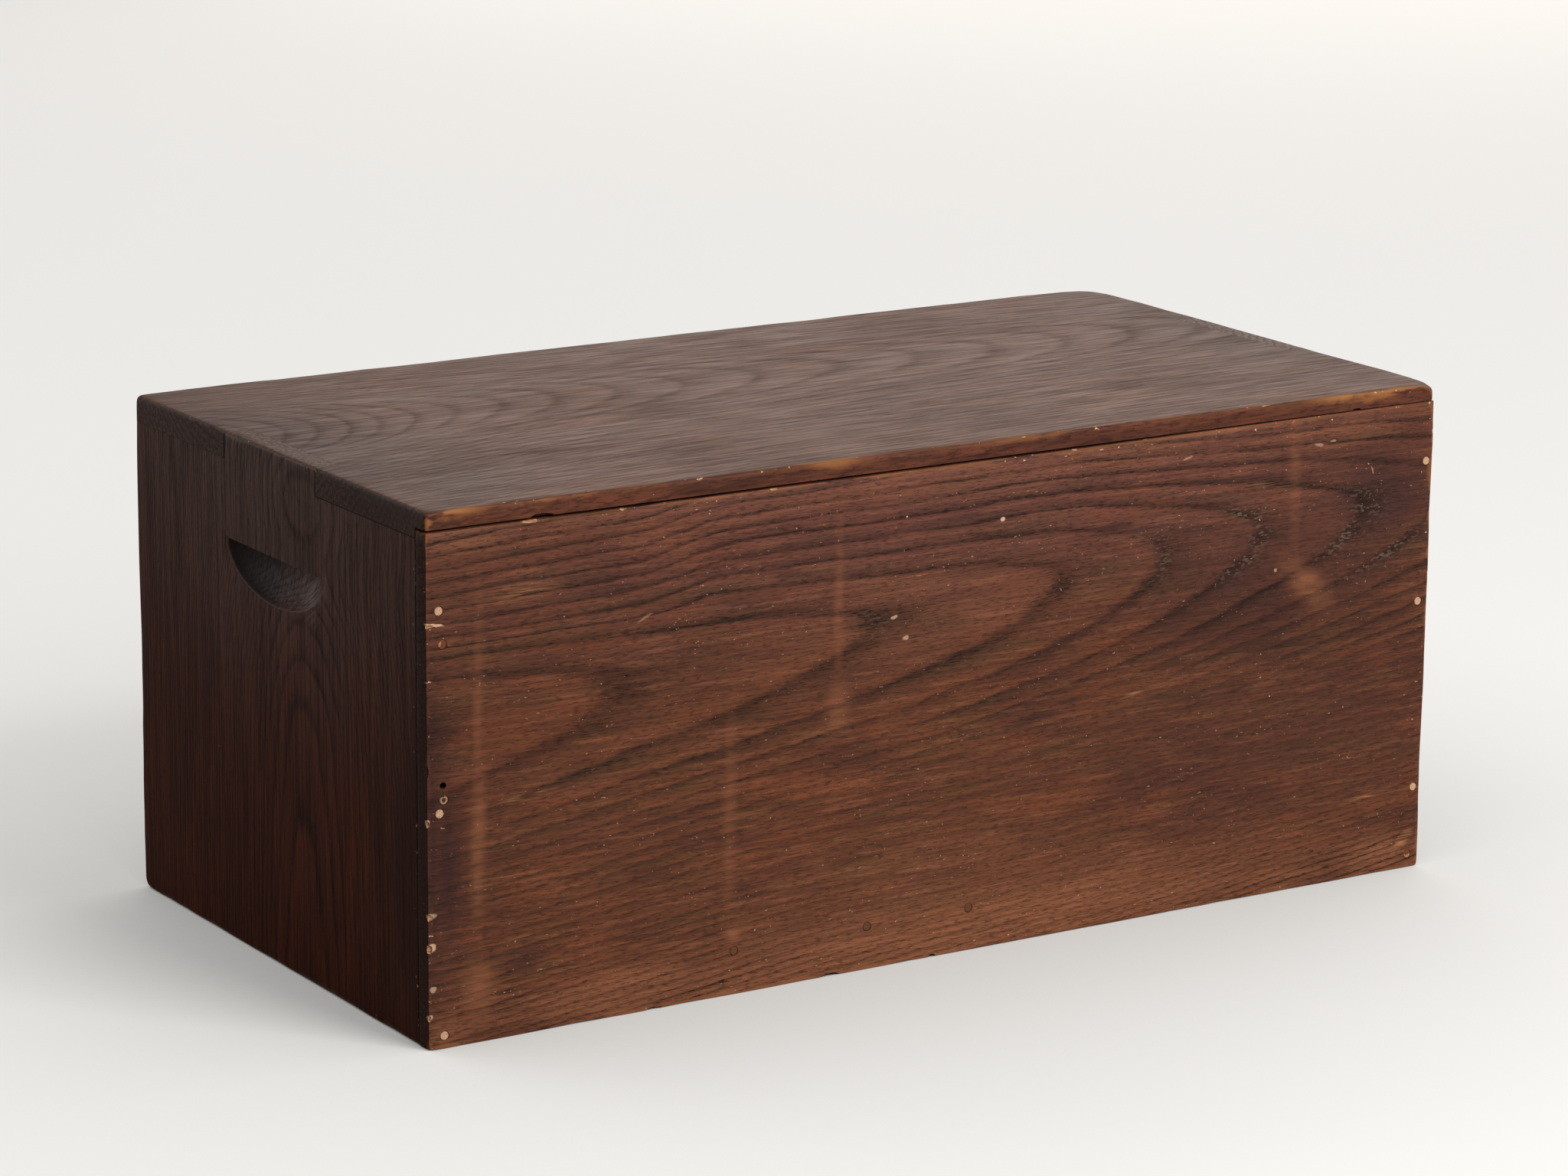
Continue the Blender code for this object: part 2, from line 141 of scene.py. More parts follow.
# Count of growth rings at a point: a tapered log cut beside its pith, so the face shows nested arches
def ringCount(tree, lines, spot, look):
    along, across, deep = lines
    bent = across
    for kind, detail, more in (("wander", 1, 0), ("ripple", 2, 5), ("ragged", 2, 9)):
        sway = grainNoise(tree, spot, ringLook[kind], detail, look["seed"] + more)
        bent = addNode(tree, "Math", timesPlus, {0: sway, 1: 2 * look[kind], 2: bent})
    for alongFrom, alongTo, acrossFrom, acrossTo, amount in look.get("shifts", ()):
        run = addNode(tree, "MapRange", smooth,
                      {"Value": along, "From Min": alongFrom, "From Max": alongTo, "To Max": amount})
        part = addNode(tree, "MapRange", smooth,
                       {"Value": across, "From Min": acrossFrom, "From Max": acrossTo})
        move = addNode(tree, "Math", times, {0: run, 1: part})
        bent = addNode(tree, "Math", minus, {0: bent, 1: move})
    start = look["pith"] + look["wander"] + look["ripple"] + look["ragged"]
    pith = addNode(tree, "Math", timesPlus, {0: along, 1: -look["tilt"], 2: start})
    side = addNode(tree, "Math", minus, {0: bent, 1: pith})
    # arms on one side of the pith run closer together than on the other
    lean = addNode(tree, "Math", times, {0: side, 1: 1 / ringLook["leanWidth"]})
    lean = addNode(tree, "Math", {"operation": "TANH"}, {0: lean})
    shallow, buried = look["pithDepth"]
    pithDepth = addNode(tree, "MapRange", None,
                        {"Value": lean, "From Min": -1, "To Min": shallow, "To Max": buried})
    lean = addNode(tree, "Math", timesPlus, {0: lean, 1: -look["lean"], 2: ringLook["balance"]})
    side = addNode(tree, "Math", times, {0: side, 1: lean})
    inside = addNode(tree, "Math", {"operation": "ADD"}, {0: deep, 1: pithDepth})
    radius = addNode(tree, "Math", times, {0: inside, 1: inside})
    radius = addNode(tree, "Math", timesPlus, {0: side, 1: side, 2: radius})
    radius = addNode(tree, "Math", {"operation": "SQRT"}, {0: radius})
    radius = addNode(tree, "Math", minus, {0: radius, 1: pithDepth})
    rings = addNode(tree, "Math", times, {0: radius, 1: pithDepth})
    rings = addNode(tree, "Math", times, {0: rings, 1: 2 / look["blunt"]})
    edge = addNode(tree, "Math", unsigned, {0: side})
    edge = addNode(tree, "Math", minus, {0: edge, 1: ringLook["outerFrom"]})
    edge = addNode(tree, "Math", larger, {0: edge, 1: 0})
    rings = addNode(tree, "Math", timesPlus, {0: edge, 1: look["outerRings"], 2: rings})
    far, span = ringLook["curveLength"], ringLook["curveRange"]  # the curve's own values run from 0 to 1
    share = addNode(tree, "Math", times, {0: along, 1: 1 / far})
    points = [(a / far, (r + span / 2 - look["uneven"] / 2) / span) for a, r in look["tips"]]
    taper = addNode(tree, "FloatCurve", {"points": points}, {"Value": share})
    uneven = grainNoise(tree, spot, ringLook["uneven"], 3, look["seed"] + 7)
    rings = addNode(tree, "Math", timesPlus, {0: uneven, 1: look["uneven"], 2: rings})
    return addNode(tree, "Math", timesPlus, {0: taper, 1: span, 2: rings})


# Soft or hard patches: (along, across, half length, half width, turn in degrees, strength)
def patches(tree, spot, marks, hard, deep=400):
    total = None
    for along, across, halfLong, halfWide, turn, strength in marks:
        centred = addNode(tree, "Mapping", {"vector_type": "TEXTURE"},
                          {"Vector": spot, "Location": (along, across, 0), "Rotation": (0, 0, math.radians(turn)),
                           "Scale": (halfLong, halfWide, deep)})
        far = addNode(tree, "VectorMath", length, {0: centred})
        mark = addNode(tree, "MapRange", smooth,
                       {"Value": far.outputs["Value"], "From Min": 1, "From Max": hard, "To Max": strength})
        total = mark if total is None else addNode(tree, "Math", larger, {0: total, 1: mark})
    return total


# Millimetres to the nearest arris of a board's box; sides says which faces of each axis count
def edgeDistance(tree, axes, look):
    low, high = look["box"]
    gaps = []
    for i, side in enumerate(look["sides"]):
        if side == "both":
            gap = addNode(tree, "Math", minus, {0: axes.outputs[i], 1: (low[i] + high[i]) / 2})
            gap = addNode(tree, "Math", unsigned, {0: gap})
            gap = addNode(tree, "Math", timesPlus,
                          {0: gap, 1: -1000, 2: (high[i] - low[i]) * 500})
        elif side == "high":
            gap = addNode(tree, "Math", timesPlus, {0: axes.outputs[i], 1: -1000, 2: high[i] * 1000})
        else:
            gap = addNode(tree, "Math", timesPlus, {0: axes.outputs[i], 1: 1000, 2: -low[i] * 1000})
        gaps.append(gap)
    less = addNode(tree, "Math", smaller, {0: gaps[0], 1: gaps[1]})
    more = addNode(tree, "Math", larger, {0: gaps[0], 1: gaps[1]})
    more = addNode(tree, "Math", smaller, {0: more, 1: gaps[2]})
    return addNode(tree, "Math", larger, {0: less, 1: more})


grainLook = {  # millimetres along the grain, across it and into the wood
    "fade": (60, 9, 9), "pores": (4, 0.6, 0.6), "fibre": (60, 1.5, 1.5), "cloud": (110, 45, 45),
    "warm": (70, 22, 22), "mottle": (45, 9, 9), "wisps": (26, 2.4, 2.4), "uneven": (16, 3, 3),
    "dust": (2.6, 1, 1), "paleLines": (14, 0.9, 0.9), "rub": (28, 9, 9), "crumb": (3, 2, 2),
    "torn": (2, 2, 2), "specks": (1.5, 1, 1), "waves": (90, 25, 25),
    "late": [(0, 0.1), (0.06, 0), (0.45, 0), (0.75, 0.7), (0.94, 1), (1, 0.1)],  # (part of a ring, tone)
}
# old dirt for the open joints, and the painted shade of the hand-hold's hollow
dirtAndShadeLook = {"hollowShade": "#1d1411", "oldDirt": "#120a07"}


# Old ring-porous hardwood under a thin worn stain: dark pore bands at each ring, short pores along the
# grain, fine fibre, cloudy stain, bare wood on the arrises and small pale chips
def oldBoard(look):
    material, tree = startMaterial(look["name"])
    place, axes, lines, spot = boardPlace(tree, look)
    seed = look["seed"]
    count = ringCount(tree, lines, spot, look)
    phase = addNode(tree, "Math", {"operation": "FRACT"}, {0: count})
    band = addNode(tree, "ValToRGB", {"stops": look["band"]}, {"Fac": phase})
    late = addNode(tree, "ValToRGB", {"stops": grainLook["late"]}, {"Fac": phase})
    whole = addNode(tree, "Math", {"operation": "FLOOR"}, {0: count})
    luck = addNode(tree, "TexWhiteNoise", {"noise_dimensions": "1D"}, {"W": whole})
    bold = addNode(tree, "MapRange", None, {"Value": luck.outputs["Value"], "To Min": 0.7, "To Max": 1})
    band = addNode(tree, "Math", times, {0: band, 1: bold})
    fade = grainNoise(tree, spot, grainLook["fade"], 3, seed + 13)
    olive = addNode(tree, "MapRange", smooth, {"Value": fade, "From Min": 0.5, "From Max": 0.66, "To Max": 0.5})
    fade = addNode(tree, "MapRange", None,
                   {"Value": fade, "From Min": 0.3, "From Max": 0.65, "To Min": 0.5, "To Max": 1.2})
    band = addNode(tree, "Math", times, {0: band, 1: fade})
    if look.get("calm"):  # where the rings run close together and blur
        calm = addNode(tree, "Math", minus, {0: 1, 1: patches(tree, spot, look["calm"], 0.3)})
        band = addNode(tree, "Math", times, {0: band, 1: calm})

    # pores are 0.3 mm wide in the real wood; drawn 0.6 mm wide so that they show
    pores = grainMask(tree, spot, look.get("poreSize", grainLook["pores"]), 2, seed + 11, 0.5, 0.66)
    fibre = grainMask(tree, spot, look.get("fibreSize", grainLook["fibre"]), 4, seed + 17, 0.36, 0.66)
    cloud = grainMask(tree, spot, grainLook["cloud"], 4, seed + 23, 0.45, 0.75, 0.6)
    warm = grainMask(tree, spot, grainLook["warm"], 5, seed + 31, 0.48, 0.72)

    shade = addNode(tree, "Mix", mixColours,
                    {"Factor": cloud, "A": hexColour(look["base"]), "B": hexColour(look["dark"])})
    glow = addNode(tree, "Math", times, {0: late, 1: look["glow"]})
    mottle = grainMask(tree, spot, grainLook["mottle"], 5, seed + 27, 0.46, 0.68, look["mottle"])
    thin = look.get("olive", look["base"])
    for layer, colour in ((warm, look["warm"]), (olive, thin), (glow, look["warm"]), (mottle, look["dark"])):
        shade = addNode(tree, "Mix", mixColours, {"Factor": layer, "A": shade, "B": hexColour(colour)})
    if look.get("wisps"):  # broken pale streaks where the stain has rubbed thin
        wisps = grainMask(tree, spot, grainLook["wisps"], 4, seed + 29, 0.5, 0.68, look["wisps"])
        shade = addNode(tree, "Mix", mixColours, {"Factor": wisps, "A": shade, "B": hexColour(look["faded"])})
    for colour in ("dark", "faded", "plum"):  # clouds of thick and thin stain, under the grain; the top's dark clouds are painted shade, the ends' pale clouds and the back's plum cloud are painted sheen
        if look.get(colour + "Clouds"):
            clouds = patches(tree, spot, look[colour + "Clouds"], 0)
            shade = addNode(tree, "Mix", mixColours, {"Factor": clouds, "A": shade, "B": hexColour(look[colour])})
    facing = addNode(tree, "SeparateXYZ", None, {0: place.outputs["Normal"]})  # sawn ends drink more stain
    sawn = addNode(tree, "Math", unsigned, {0: facing.outputs[look["along"][0]]})
    sawn = addNode(tree, "MapRange", smooth, {"Value": sawn, "From Min": 0.6, "From Max": 0.85, "To Max": 0.85})
    shade = addNode(tree, "Mix", mixColours, {"Factor": sawn, "A": shade, "B": hexColour(look["sawn"])})
    if look.get("stained"):  # inner boards: the outside's stain covers the front edge and stops a little way in
        stainTo, stainFrom = look["stainSpan"]
        ragged = addNode(tree, "Math", timesPlus, {0: cloud, 1: look["stainRagged"], 2: axes.outputs["Y"]})
        stain = addNode(tree, "MapRange", smooth,
                        {"Value": ragged, "From Min": stainTo, "From Max": stainFrom, "To Max": 0.94})
        shade = addNode(tree, "Mix", mixColours, {"Factor": stain, "A": shade, "B": hexColour(look["stained"])})
    dashes = addNode(tree, "MapRange", None, {"Value": pores, "To Min": 0.62, "To Max": 1})
    ring = addNode(tree, "Math", times, {0: band, 1: dashes})
    for layer, strength in ((fibre, look["fibre"]), (ring, look["bold"]), (pores, look["pores"])):
        tone = addNode(tree, "Math", times, {0: layer, 1: strength})
        shade = addNode(tree, "Mix", mixColours, {"Factor": tone, "A": shade, "B": hexColour(look["ring"])})

    if look.get("streaks"):  # worn runs; the dark rings show through
        faded = patches(tree, spot, look["streaks"], 0)
        uneven = grainNoise(tree, spot, grainLook["uneven"], 4, seed + 45)
        uneven = addNode(tree, "MapRange", None,
                         {"Value": uneven, "From Min": 0.32, "From Max": 0.66, "To Min": 0.35, "To Max": 1.2})
        faded = addNode(tree, "Math", timesClamped, {0: faded, 1: uneven})
        through = addNode(tree, "MapRange", None, {"Value": ring, "To Min": 1, "To Max": 0.3})
        faded = addNode(tree, "Math", times, {0: faded, 1: through})
        shade = addNode(tree, "Mix", mixColours, {"Factor": faded, "A": shade, "B": hexColour(look["faded"])})

    if look.get("dust"):  # pale dust caught in the open pores of the rings
        caught = grainMask(tree, spot, grainLook["dust"], 2, seed + 35, 0.53, 0.62)
        caught = addNode(tree, "Math", times, {0: caught, 1: band})
        caught = addNode(tree, "Math", timesClamped, {0: caught, 1: patches(tree, spot, look["dust"], 0.3)})
        shade = addNode(tree, "Mix", mixColours, {"Factor": caught, "A": shade, "B": hexColour(look["dustTone"])})

    if look.get("wearAndGlintLines"):  # rubbed through in fine pale lines along the grain; the pale lines across the scoop are painted highlights on its gouge marks
        turn = math.radians(-look.get("wearAndGlintTurn", 0))
        turned = addNode(tree, "Mapping", None, {"Vector": spot, "Rotation": (0, 0, turn)})
        paleLines = grainMask(tree, turned, grainLook["paleLines"], 3, seed + 37, 0.4, 0.62)
        paleLines = addNode(tree, "Math", times, {0: paleLines, 1: patches(tree, spot, look["wearAndGlintLines"], 0)})
        shade = addNode(tree, "Mix", mixColours, {"Factor": paleLines, "A": shade, "B": hexColour(look["wearAndGlint"])})

    # bare wood along the arrises, broken up by two sizes of noise
    edge = edgeDistance(tree, axes, look)
    rub = grainNoise(tree, spot, grainLook["rub"], 4, seed + 41)
    reach = addNode(tree, "MapRange", None, {"Value": rub, "From Min": 0.38, "From Max": 0.68,
                                             "To Min": 0.05, "To Max": look["wearReach"]})
    wear = addNode(tree, "Math", {"operation": "DIVIDE"}, {0: edge, 1: reach})
    wear = addNode(tree, "MapRange", smooth,
                   {"Value": wear, "From Min": 1.2, "From Max": 0.2, "To Max": look["wear"]})
    if look.get("rubbed"):
        held = patches(tree, spot, look["rubbed"], 0.2)
        held = addNode(tree, "Math", {"operation": "ADD", "use_clamp": True}, {0: held, 1: look["rubBase"]})
        wear = addNode(tree, "Math", times, {0: wear, 1: held})
    shade = addNode(tree, "Mix", mixColours, {"Factor": wear, "A": shade, "B": hexColour(look["worn"])})

    # chips: specks of fresh wood, thickest near the edges, and the marks that are listed
    crumb = grainNoise(tree, spot, grainLook["crumb"], 2, seed + 53)
    rim = addNode(tree, "MapRange", None, {"Value": edge, "From Min": 0.3, "From Max": look["chipReach"],
                                           "To Min": look["chipsEdge"], "To Max": look["chipsFace"]})
    chips = addNode(tree, "Math", minus, {0: crumb, 1: rim})
    chips = addNode(tree, "MapRange", smooth, {"Value": chips, "From Max": 0.05})
    if look.get("chips"):
        torn = grainNoise(tree, spot, grainLook["torn"], 2, seed + 61)
        rough = addNode(tree, "VectorMath", timesPlus, {0: torn.outputs["Color"], 1: (1.6, 1.2, 0), 2: spot})
        listed = patches(tree, rough, look["chips"], 0.55, 2.5)
        chips = addNode(tree, "Math", larger, {0: chips, 1: listed})
    rare = look["specks"]
    specks = grainMask(tree, spot, grainLook["specks"], 1, seed + 59, rare, rare + 0.05, 0.6)
    clusters = addNode(tree, "MapRange", smooth, {"Value": rub, "From Min": 0.42, "From Max": 0.6})
    specks = addNode(tree, "Math", times, {0: specks, 1: clusters})
    chips = addNode(tree, "Math", larger, {0: chips, 1: specks})
    shade = addNode(tree, "Mix", mixColours, {"Factor": chips, "A": shade, "B": hexColour(look["chip"])})
    if look.get("paintedHoldShade"):  # hand-hold: its rim is rubbed pale and painted as a highlight, its hollow is painted dark as shade
        hollow = addNode(tree, "MapRange", smooth, {"Value": lines[2], "From Min": 0.4, "From Max": 1.1})
        rimWearAndHighlight = addNode(tree, "MapRange", smooth, {"Value": lines[2], "From Min": 0.05, "From Max": 0.3})
        rimWearAndHighlight = addNode(tree, "Math", {"operation": "SUBTRACT", "use_clamp": True}, {0: rimWearAndHighlight, 1: hollow})
        rimWearAndHighlight = addNode(tree, "Math", times, {0: rimWearAndHighlight, 1: 0.35})
        shade = addNode(tree, "Mix", mixColours, {"Factor": rimWearAndHighlight, "A": shade, "B": hexColour(look["wearAndGlint"])})
        hollow = addNode(tree, "Math", times, {0: hollow, 1: patches(tree, spot, look["paintedHoldShade"], 0.45)})
        hollowShadeTone = hexColour(dirtAndShadeLook["hollowShade"])
        shade = addNode(tree, "Mix", mixColours, {"Factor": hollow, "A": shade, "B": hollowShadeTone})
    if look.get("cracks"):  # open joints and splits, black with old dirt
        cracks = patches(tree, spot, look["cracks"], 0.4, 30)
        shade = addNode(tree, "Mix", mixColours, {"Factor": cracks, "A": shade, "B": hexColour(dirtAndShadeLook["oldDirt"])})

    gloss = addNode(tree, "MapRange", None,
                    {"Value": cloud, "To Min": look["rough"] - 0.05, "To Max": look["rough"] + 0.06})
    for layer, matt in ((ring, 0.15), (fibre, 0.14), (wear, 0.15)):
        gloss = addNode(tree, "Math", timesPlus, {0: layer, 1: matt, 2: gloss})

    # open pores and ring bands lie lower than the fibre; the plane left shallow waves
    waves = grainNoise(tree, spot, grainLook["waves"], 2, seed + 71)
    height = 1
    for layer, rise in ((pores, -0.35), (ring, -0.5), (fibre, -0.25), (chips, -0.8), (waves, 8)):
        height = addNode(tree, "Math", timesPlus, {0: layer, 1: rise, 2: height})
    bump = addNode(tree, "Bump", None, {"Strength": 1, "Distance": look["relief"], "Height": height})
    return finishWood(material, tree, shade, gloss, bump, look["shine"])


def boxOf(name):
    low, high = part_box(name)
    return list(low), list(high)


# Back board: flat-sawn chestnut, red-brown stain; millimetres from the +X end and down from the top
backLook = {
    "name": "stainedChestnutBack",
    "along": ("X", -1000, 260), "across": ("Z", -1000, 228), "deep": ("Y", -1000, 141.75),
    "seed": 3.0, "pith": 92, "tilt": 0.083, "lean": 0.17, "pithDepth": (42, 150), "blunt": 640, "outerRings": 0.03,
    "wander": 3.4, "ripple": 1.3, "ragged": 0.9, "specks": 0.725,
    "band": [(0, 0.68), (0.05, 1), (0.13, 0.82), (0.25, 0.4), (0.44, 0.12), (0.86, 0.03), (0.95, 0.3), (1, 0.68)],
    "calm": [(340, 165, 340, 82, -4, 0.88), (60, 170, 240, 66, -3, 0.55)], "wisps": 0.4, "olive": "#5f452b",
    "tips": [(0, -0.9), (88, 0), (211, 1), (311, 2), (368, 3), (420, 4), (478, 5), (540, 6.2), (600, 7.4)],
    "shifts": [(142, 98, 66, 50, 5.5)],
    "base": "#683f2d", "dark": "#462a26", "warm": "#7d4830", "ring": "#251813", "faded": "#976043", "plum": "#785155",
    # the plum patch over the upper part of the back is a painted reflection of the sky
    "plumClouds": [(260, 22, 420, 88, 0, 0.24)],
    "worn": "#9c6541", "chip": "#d5ae8e", "wearAndGlint": "#a9774f", "dustTone": "#96806c", "sawn": "#33201a",
    "fibre": 0.35, "bold": 1.35, "pores": 0.5, "glow": 0.5, "mottle": 0.42, "uneven": 0.25, "shine": 0.13,
    "darkClouds": [(0, 140, 17, 130, 0, 1), (9, 150, 15, 68, 0, 1), (46, 196, 15, 9, -8, 0.7),
                   (30, 105, 45, 75, 0, 0.2), (492, 50, 55, 42, 0, 1), (440, 80, 130, 62, -8, 0.7),
                   (376, 208, 3, 3, 0, 0.5), (486, 208, 3, 3, 0, 0.5), (430, 150, 170, 75, -4, 0.42)],
    "streaks": [(24, 80, 4, 75, 0.8, 0.3), (24, 140, 5.5, 60, 0.8, 0.5), (24, 205, 12, 20, 0, 0.6),
                (145, 150, 5.5, 70, 0.5, 0.32), (147, 201, 6, 5, 0, 0.6), (199, 60, 4, 66, 0, 0.34),
                (199, 108, 10, 16, 0, 0.55), (441, 30, 6, 60, -2, 0.3), (449, 84, 28, 11, 40, 0.75)],
    "fadedClouds": [(265, 219, 290, 32, -1, 0.9), (95, 218, 75, 20, 0, 0.95), (496, 219, 34, 17, 0, 0.95),
                    (436, 220, 50, 18, -3, 0.6), (14, 10, 50, 14, 0, 0.6), (8, 222, 22, 14, 0, 0.6),
                    (250, 195, 130, 38, -3, 0.28), (250, 16, 300, 12, 0, 0.5), (462, 17, 52, 8, 0, 0.6),
                    (240, 70, 110, 40, -5, 0.3)],
    "wearAndGlintLines": [(47, 125, 24, 3, -4, 0.6), (357, 122.5, 14, 1.5, -12, 0.6), (490, 190, 18, 1.5, -3, 0.9),
               (511, 214, 9, 4, -35, 1), (45, 38, 26, 6, -2, 0.45), (425, 36, 24, 2, 8, 0.4)],
    "dust": [(412, 60, 26, 30, 0, 0.42), (484, 68, 46, 34, 0, 0.4), (365, 60, 20, 22, 0, 0.3),
             (215, 74, 20, 10, 0, 0.2)],
    "chips": [(283.5, 36, 1.5, 1.2, 0, 1), (228, 72.5, 2.2, 1, -20, 0.65), (234, 82.5, 1.8, 1.2, 0, 0.6),
              (104, 57, 5, 0.7, -25, 0.22), (4, 47.5, 6, 0.8, 8, 1), (382, 20, 3.4, 0.7, -15, 0.4),
              (455, 22, 3, 0.9, 10, 0.4), (463, 21, 2, 0.8, 0, 0.4), (486, 37, 0.5, 2.6, -15, 0.4),
              (432.5, 77, 1.2, 1, 0, 0.5), (1, 130.5, 1.6, 1.8, 0, 1), (2, 170.5, 3.5, 1.6, 0, 0.6),
              (2.5, 184, 2.5, 2.2, 0, 0.9), (3, 202, 1.8, 1.8, 0, 0.6), (1.5, 214, 1.8, 1.4, 0, 0.7)],
    "box": boxOf("back_board"), "sides": ("both", "high", "both"),
    "wear": 0.85, "wearReach": 4, "chipReach": 5, "rubBase": 0.1,
    "rubbed": [(519, 60, 6, 90, 0, 0.6), (508, 218, 22, 20, 0, 0.7), (10, 225, 24, 8, 0, 0.6),
               (170, 227, 190, 5, 0, 0.6), (420, 227, 120, 5, 0, 0.4), (260, 9, 300, 3, 0, 0.45),
               (1, 12, 4, 5, 0, 0.5)],
    "chipsEdge": 0.68, "chipsFace": 0.77, "rough": 0.45, "relief": 0.00004,
}
backWood = oldBoard(backLook)

# Top: the same wood, rubbed to a satin sheen by hands; millimetres from the +X end and from the front edge
topLook = {
    "name": "rubbedChestnutTop",
    "along": ("X", -1000, 260), "across": ("Y", 1000, 128.25), "deep": ("Z", -1000, 228),
    "seed": 27.0, "pith": 92, "tilt": -0.01, "lean": 0.1, "pithDepth": (120, 120), "blunt": 900, "outerRings": 0.05,
    "wander": 7, "ripple": 2.2, "ragged": 1.1, "specks": 0.76,
    "fibreSize": (34, 1.8, 1.8), "poreSize": (5, 0.9, 0.9), "band": backLook["band"],
    "tips": [(0, -6.5), (40, -3.9), (90, -0.8), (150, 1.7), (262, 5), (330, 6.5), (366, 7.4), (412, 8.5),
             (455, 9.6), (600, 13)],
    "base": "#714326", "dark": "#4e2e20", "warm": "#804c2b", "ring": "#33221a",
    "worn": "#a06a3c", "chip": "#cfa57e", "sawn": "#33251f",
    "fibre": 0.42, "bold": 0.62, "pores": 0.55, "glow": 0.3, "mottle": 0.4, "uneven": 0.25, "shine": 0.32,
    # the dark patches at the top's +X end, its -X end and the +X corner by the back are painted shade, where the sheen
    # falls off
    "darkClouds": [(0, 135, 120, 240, 0, 0.75), (14, 135, 22, 160, 0, 0.4), (30, 225, 70, 80, 0, 0.7),
                   (520, 135, 95, 240, 0, 0.6)],
    "box": boxOf("top_board"), "sides": ("both", "both", "high"),
    "wear": 0.95, "wearReach": 5, "chipReach": 4, "rubBase": 0.01,
    "rubbed": [(6, 270, 36, 5, 0, 0.95), (196, 270, 26, 5, 0, 0.8), (488, 270, 58, 6, 0, 0.95),
               (120, 270, 60, 4, 0, 0.35), (330, 270, 90, 4, 0, 0.45), (520, 200, 5, 60, 0, 0.3),
               (518, 4, 20, 8, 0, 0.6)],
    "chipsEdge": 0.67, "chipsFace": 0.8, "rough": 0.45, "relief": 0.00004,
}
topWood = oldBoard(topLook)

# Ends: darker stain, upright grain; the near end's colours are darker and redder than the far end's, a painted shade;
# millimetres down from the top and from the front edge
endLook = {
    "name": "darkChestnutEnd",
    "along": ("Z", -1000, 228), "across": ("Y", 1000, 128.25), "deep": ("X", -1000, 260),
    "seed": 51.0, "pith": 162, "tilt": 0.01, "lean": 0.05, "pithDepth": (140, 140), "blunt": 480, "outerRings": 0.06,
    "wander": 6, "ripple": 1.8, "ragged": 0.7, "specks": 0.77, "band": backLook["band"],
    "tips": [(0, 0.3), (6, 0), (18, -0.5), (32, 0), (39, 0.2), (47, 0), (70, -2), (86, -3), (106, -4),
             (150, -4.9), (228, -5.9), (600, -9)],
    "base": "#56240f", "dark": "#3d190b", "warm": "#672d15", "ring": "#150905", "faded": "#6d554d",
    "worn": "#7d4d34", "chip": "#b98d6e", "wearAndGlint": "#857570", "sawn": "#4a3328",
    "fibre": 0.5, "bold": 0.95, "pores": 0.45, "glow": 0.6, "mottle": 0.4, "uneven": 0.45, "shine": 0.06,
    # the upper part of the end is painted greyer and lighter than its foot: a painted sheen
    "darkClouds": [(170, 262, 120, 46, 0, 0.9)], "fadedClouds": [(0, 125, 150, 330, 0, 0.85)],
    # the hand-hold's hollow is painted dark: a painted shade
    "cracks": [(5, 89.2, 8.5, 1.3, 0, 1)], "paintedHoldShade": [(52, 100, 40, 52, 0, 0.9)],
    # pale strokes across the scoop: painted highlights on its gouge marks
    "wearAndGlintLines": [(57, 163, 15, 19, -35, 0.8)], "wearAndGlintTurn": -55,
    "box": boxOf("right_end"), "sides": ("high", "both", "both"),
    "wear": 0.5, "wearReach": 3, "chipReach": 4, "rubBase": 0,
    "rubbed": [(225, 3, 30, 10, 0, 0.5), (120, 0, 120, 4, 0, 0.4), (225, 270, 20, 6, 0, 0.4)],
    "chipsEdge": 0.64, "chipsFace": 0.78, "rough": 0.46, "relief": 0.00004,
}
rightEndWood = oldBoard(endLook)
leftEndWood = oldBoard({
    **endLook, "name": "darkChestnutFarEnd", "seed": 68.0, "pith": 118, "deep": ("X", 1000, 260),
    # the far end keeps lighter colours; the painted sheen at its top is at half strength
    "base": "#5a301f", "dark": "#40231a", "warm": "#6b3b26", "fadedClouds": [(0, 125, 150, 330, 0, 0.5)],
    "cracks": [], "wearAndGlintLines": [], "box": boxOf("left_end"), "sides": ("low", "both", "both"),
})

# Drawer fronts and plinth: the best boards of the case, stained like the back
noMarks = ("shifts", "calm", "plumClouds", "fadedClouds", "darkClouds", "dust", "streaks", "wearAndGlintLines", "chips", "rubbed")
frontLook = {
    **backLook, **dict.fromkeys(noMarks, ()), "deep": ("Y", 1000, 126.75), "sides": ("both", "low", "both"),
    "tips": [(0, 0), (120, 1.2), (300, 4), (420, 6.2), (600, 9)], "wisps": 0.2, "specks": 0.78,
    "wear": 0.7, "wearReach": 2.5, "rough": 0.4, "bold": 1.15,
    "boards": {"long_drawer_front": (83.0, 160), "left_drawer_front": (95.0, 60),  # seed and pith
               "right_drawer_front": (107.0, 35), "plinth_rail": (119.0, 230)},
}
frontWoods = {}
for name, (seed, pith) in frontLook["boards"].items():
    frontWoods[name] = oldBoard({**frontLook, "name": "stainedChestnut_" + name, "seed": seed, "pith": pith,
                                 "box": boxOf(name)})

# Inside: unstained softwood gone brown with age, dry and matt
innerLook = {
    **topLook, "pith": 120, "fibreSize": grainLook["fibre"], "poreSize": grainLook["pores"],
    "base": "#a57a50", "dark": "#86603f", "warm": "#b3875a", "ring": "#6a4930",
    "worn": "#b38e66", "chip": "#c9a880", "sawn": "#7a5a3e", "darkClouds": [], "rubbed": [],
    "bold": 0.6, "wear": 0.4, "rough": 0.68, "shine": 0.3, "chipsFace": 0.85, "sides": ("both", "both", "both"),
    "firstSeed": 131.0, "seedStep": 7,
}
stainedEdge = {
    "stained": "#55301f", "stainSpan": (-0.118, -0.122), "stainRagged": 0.004,  # metres along Y
    "wear": 0.3, "wearReach": 1.2, "worn": "#8a5a3a", "ring": "#3a2417", "chipsEdge": 0.72,
}
innerWoods = {}
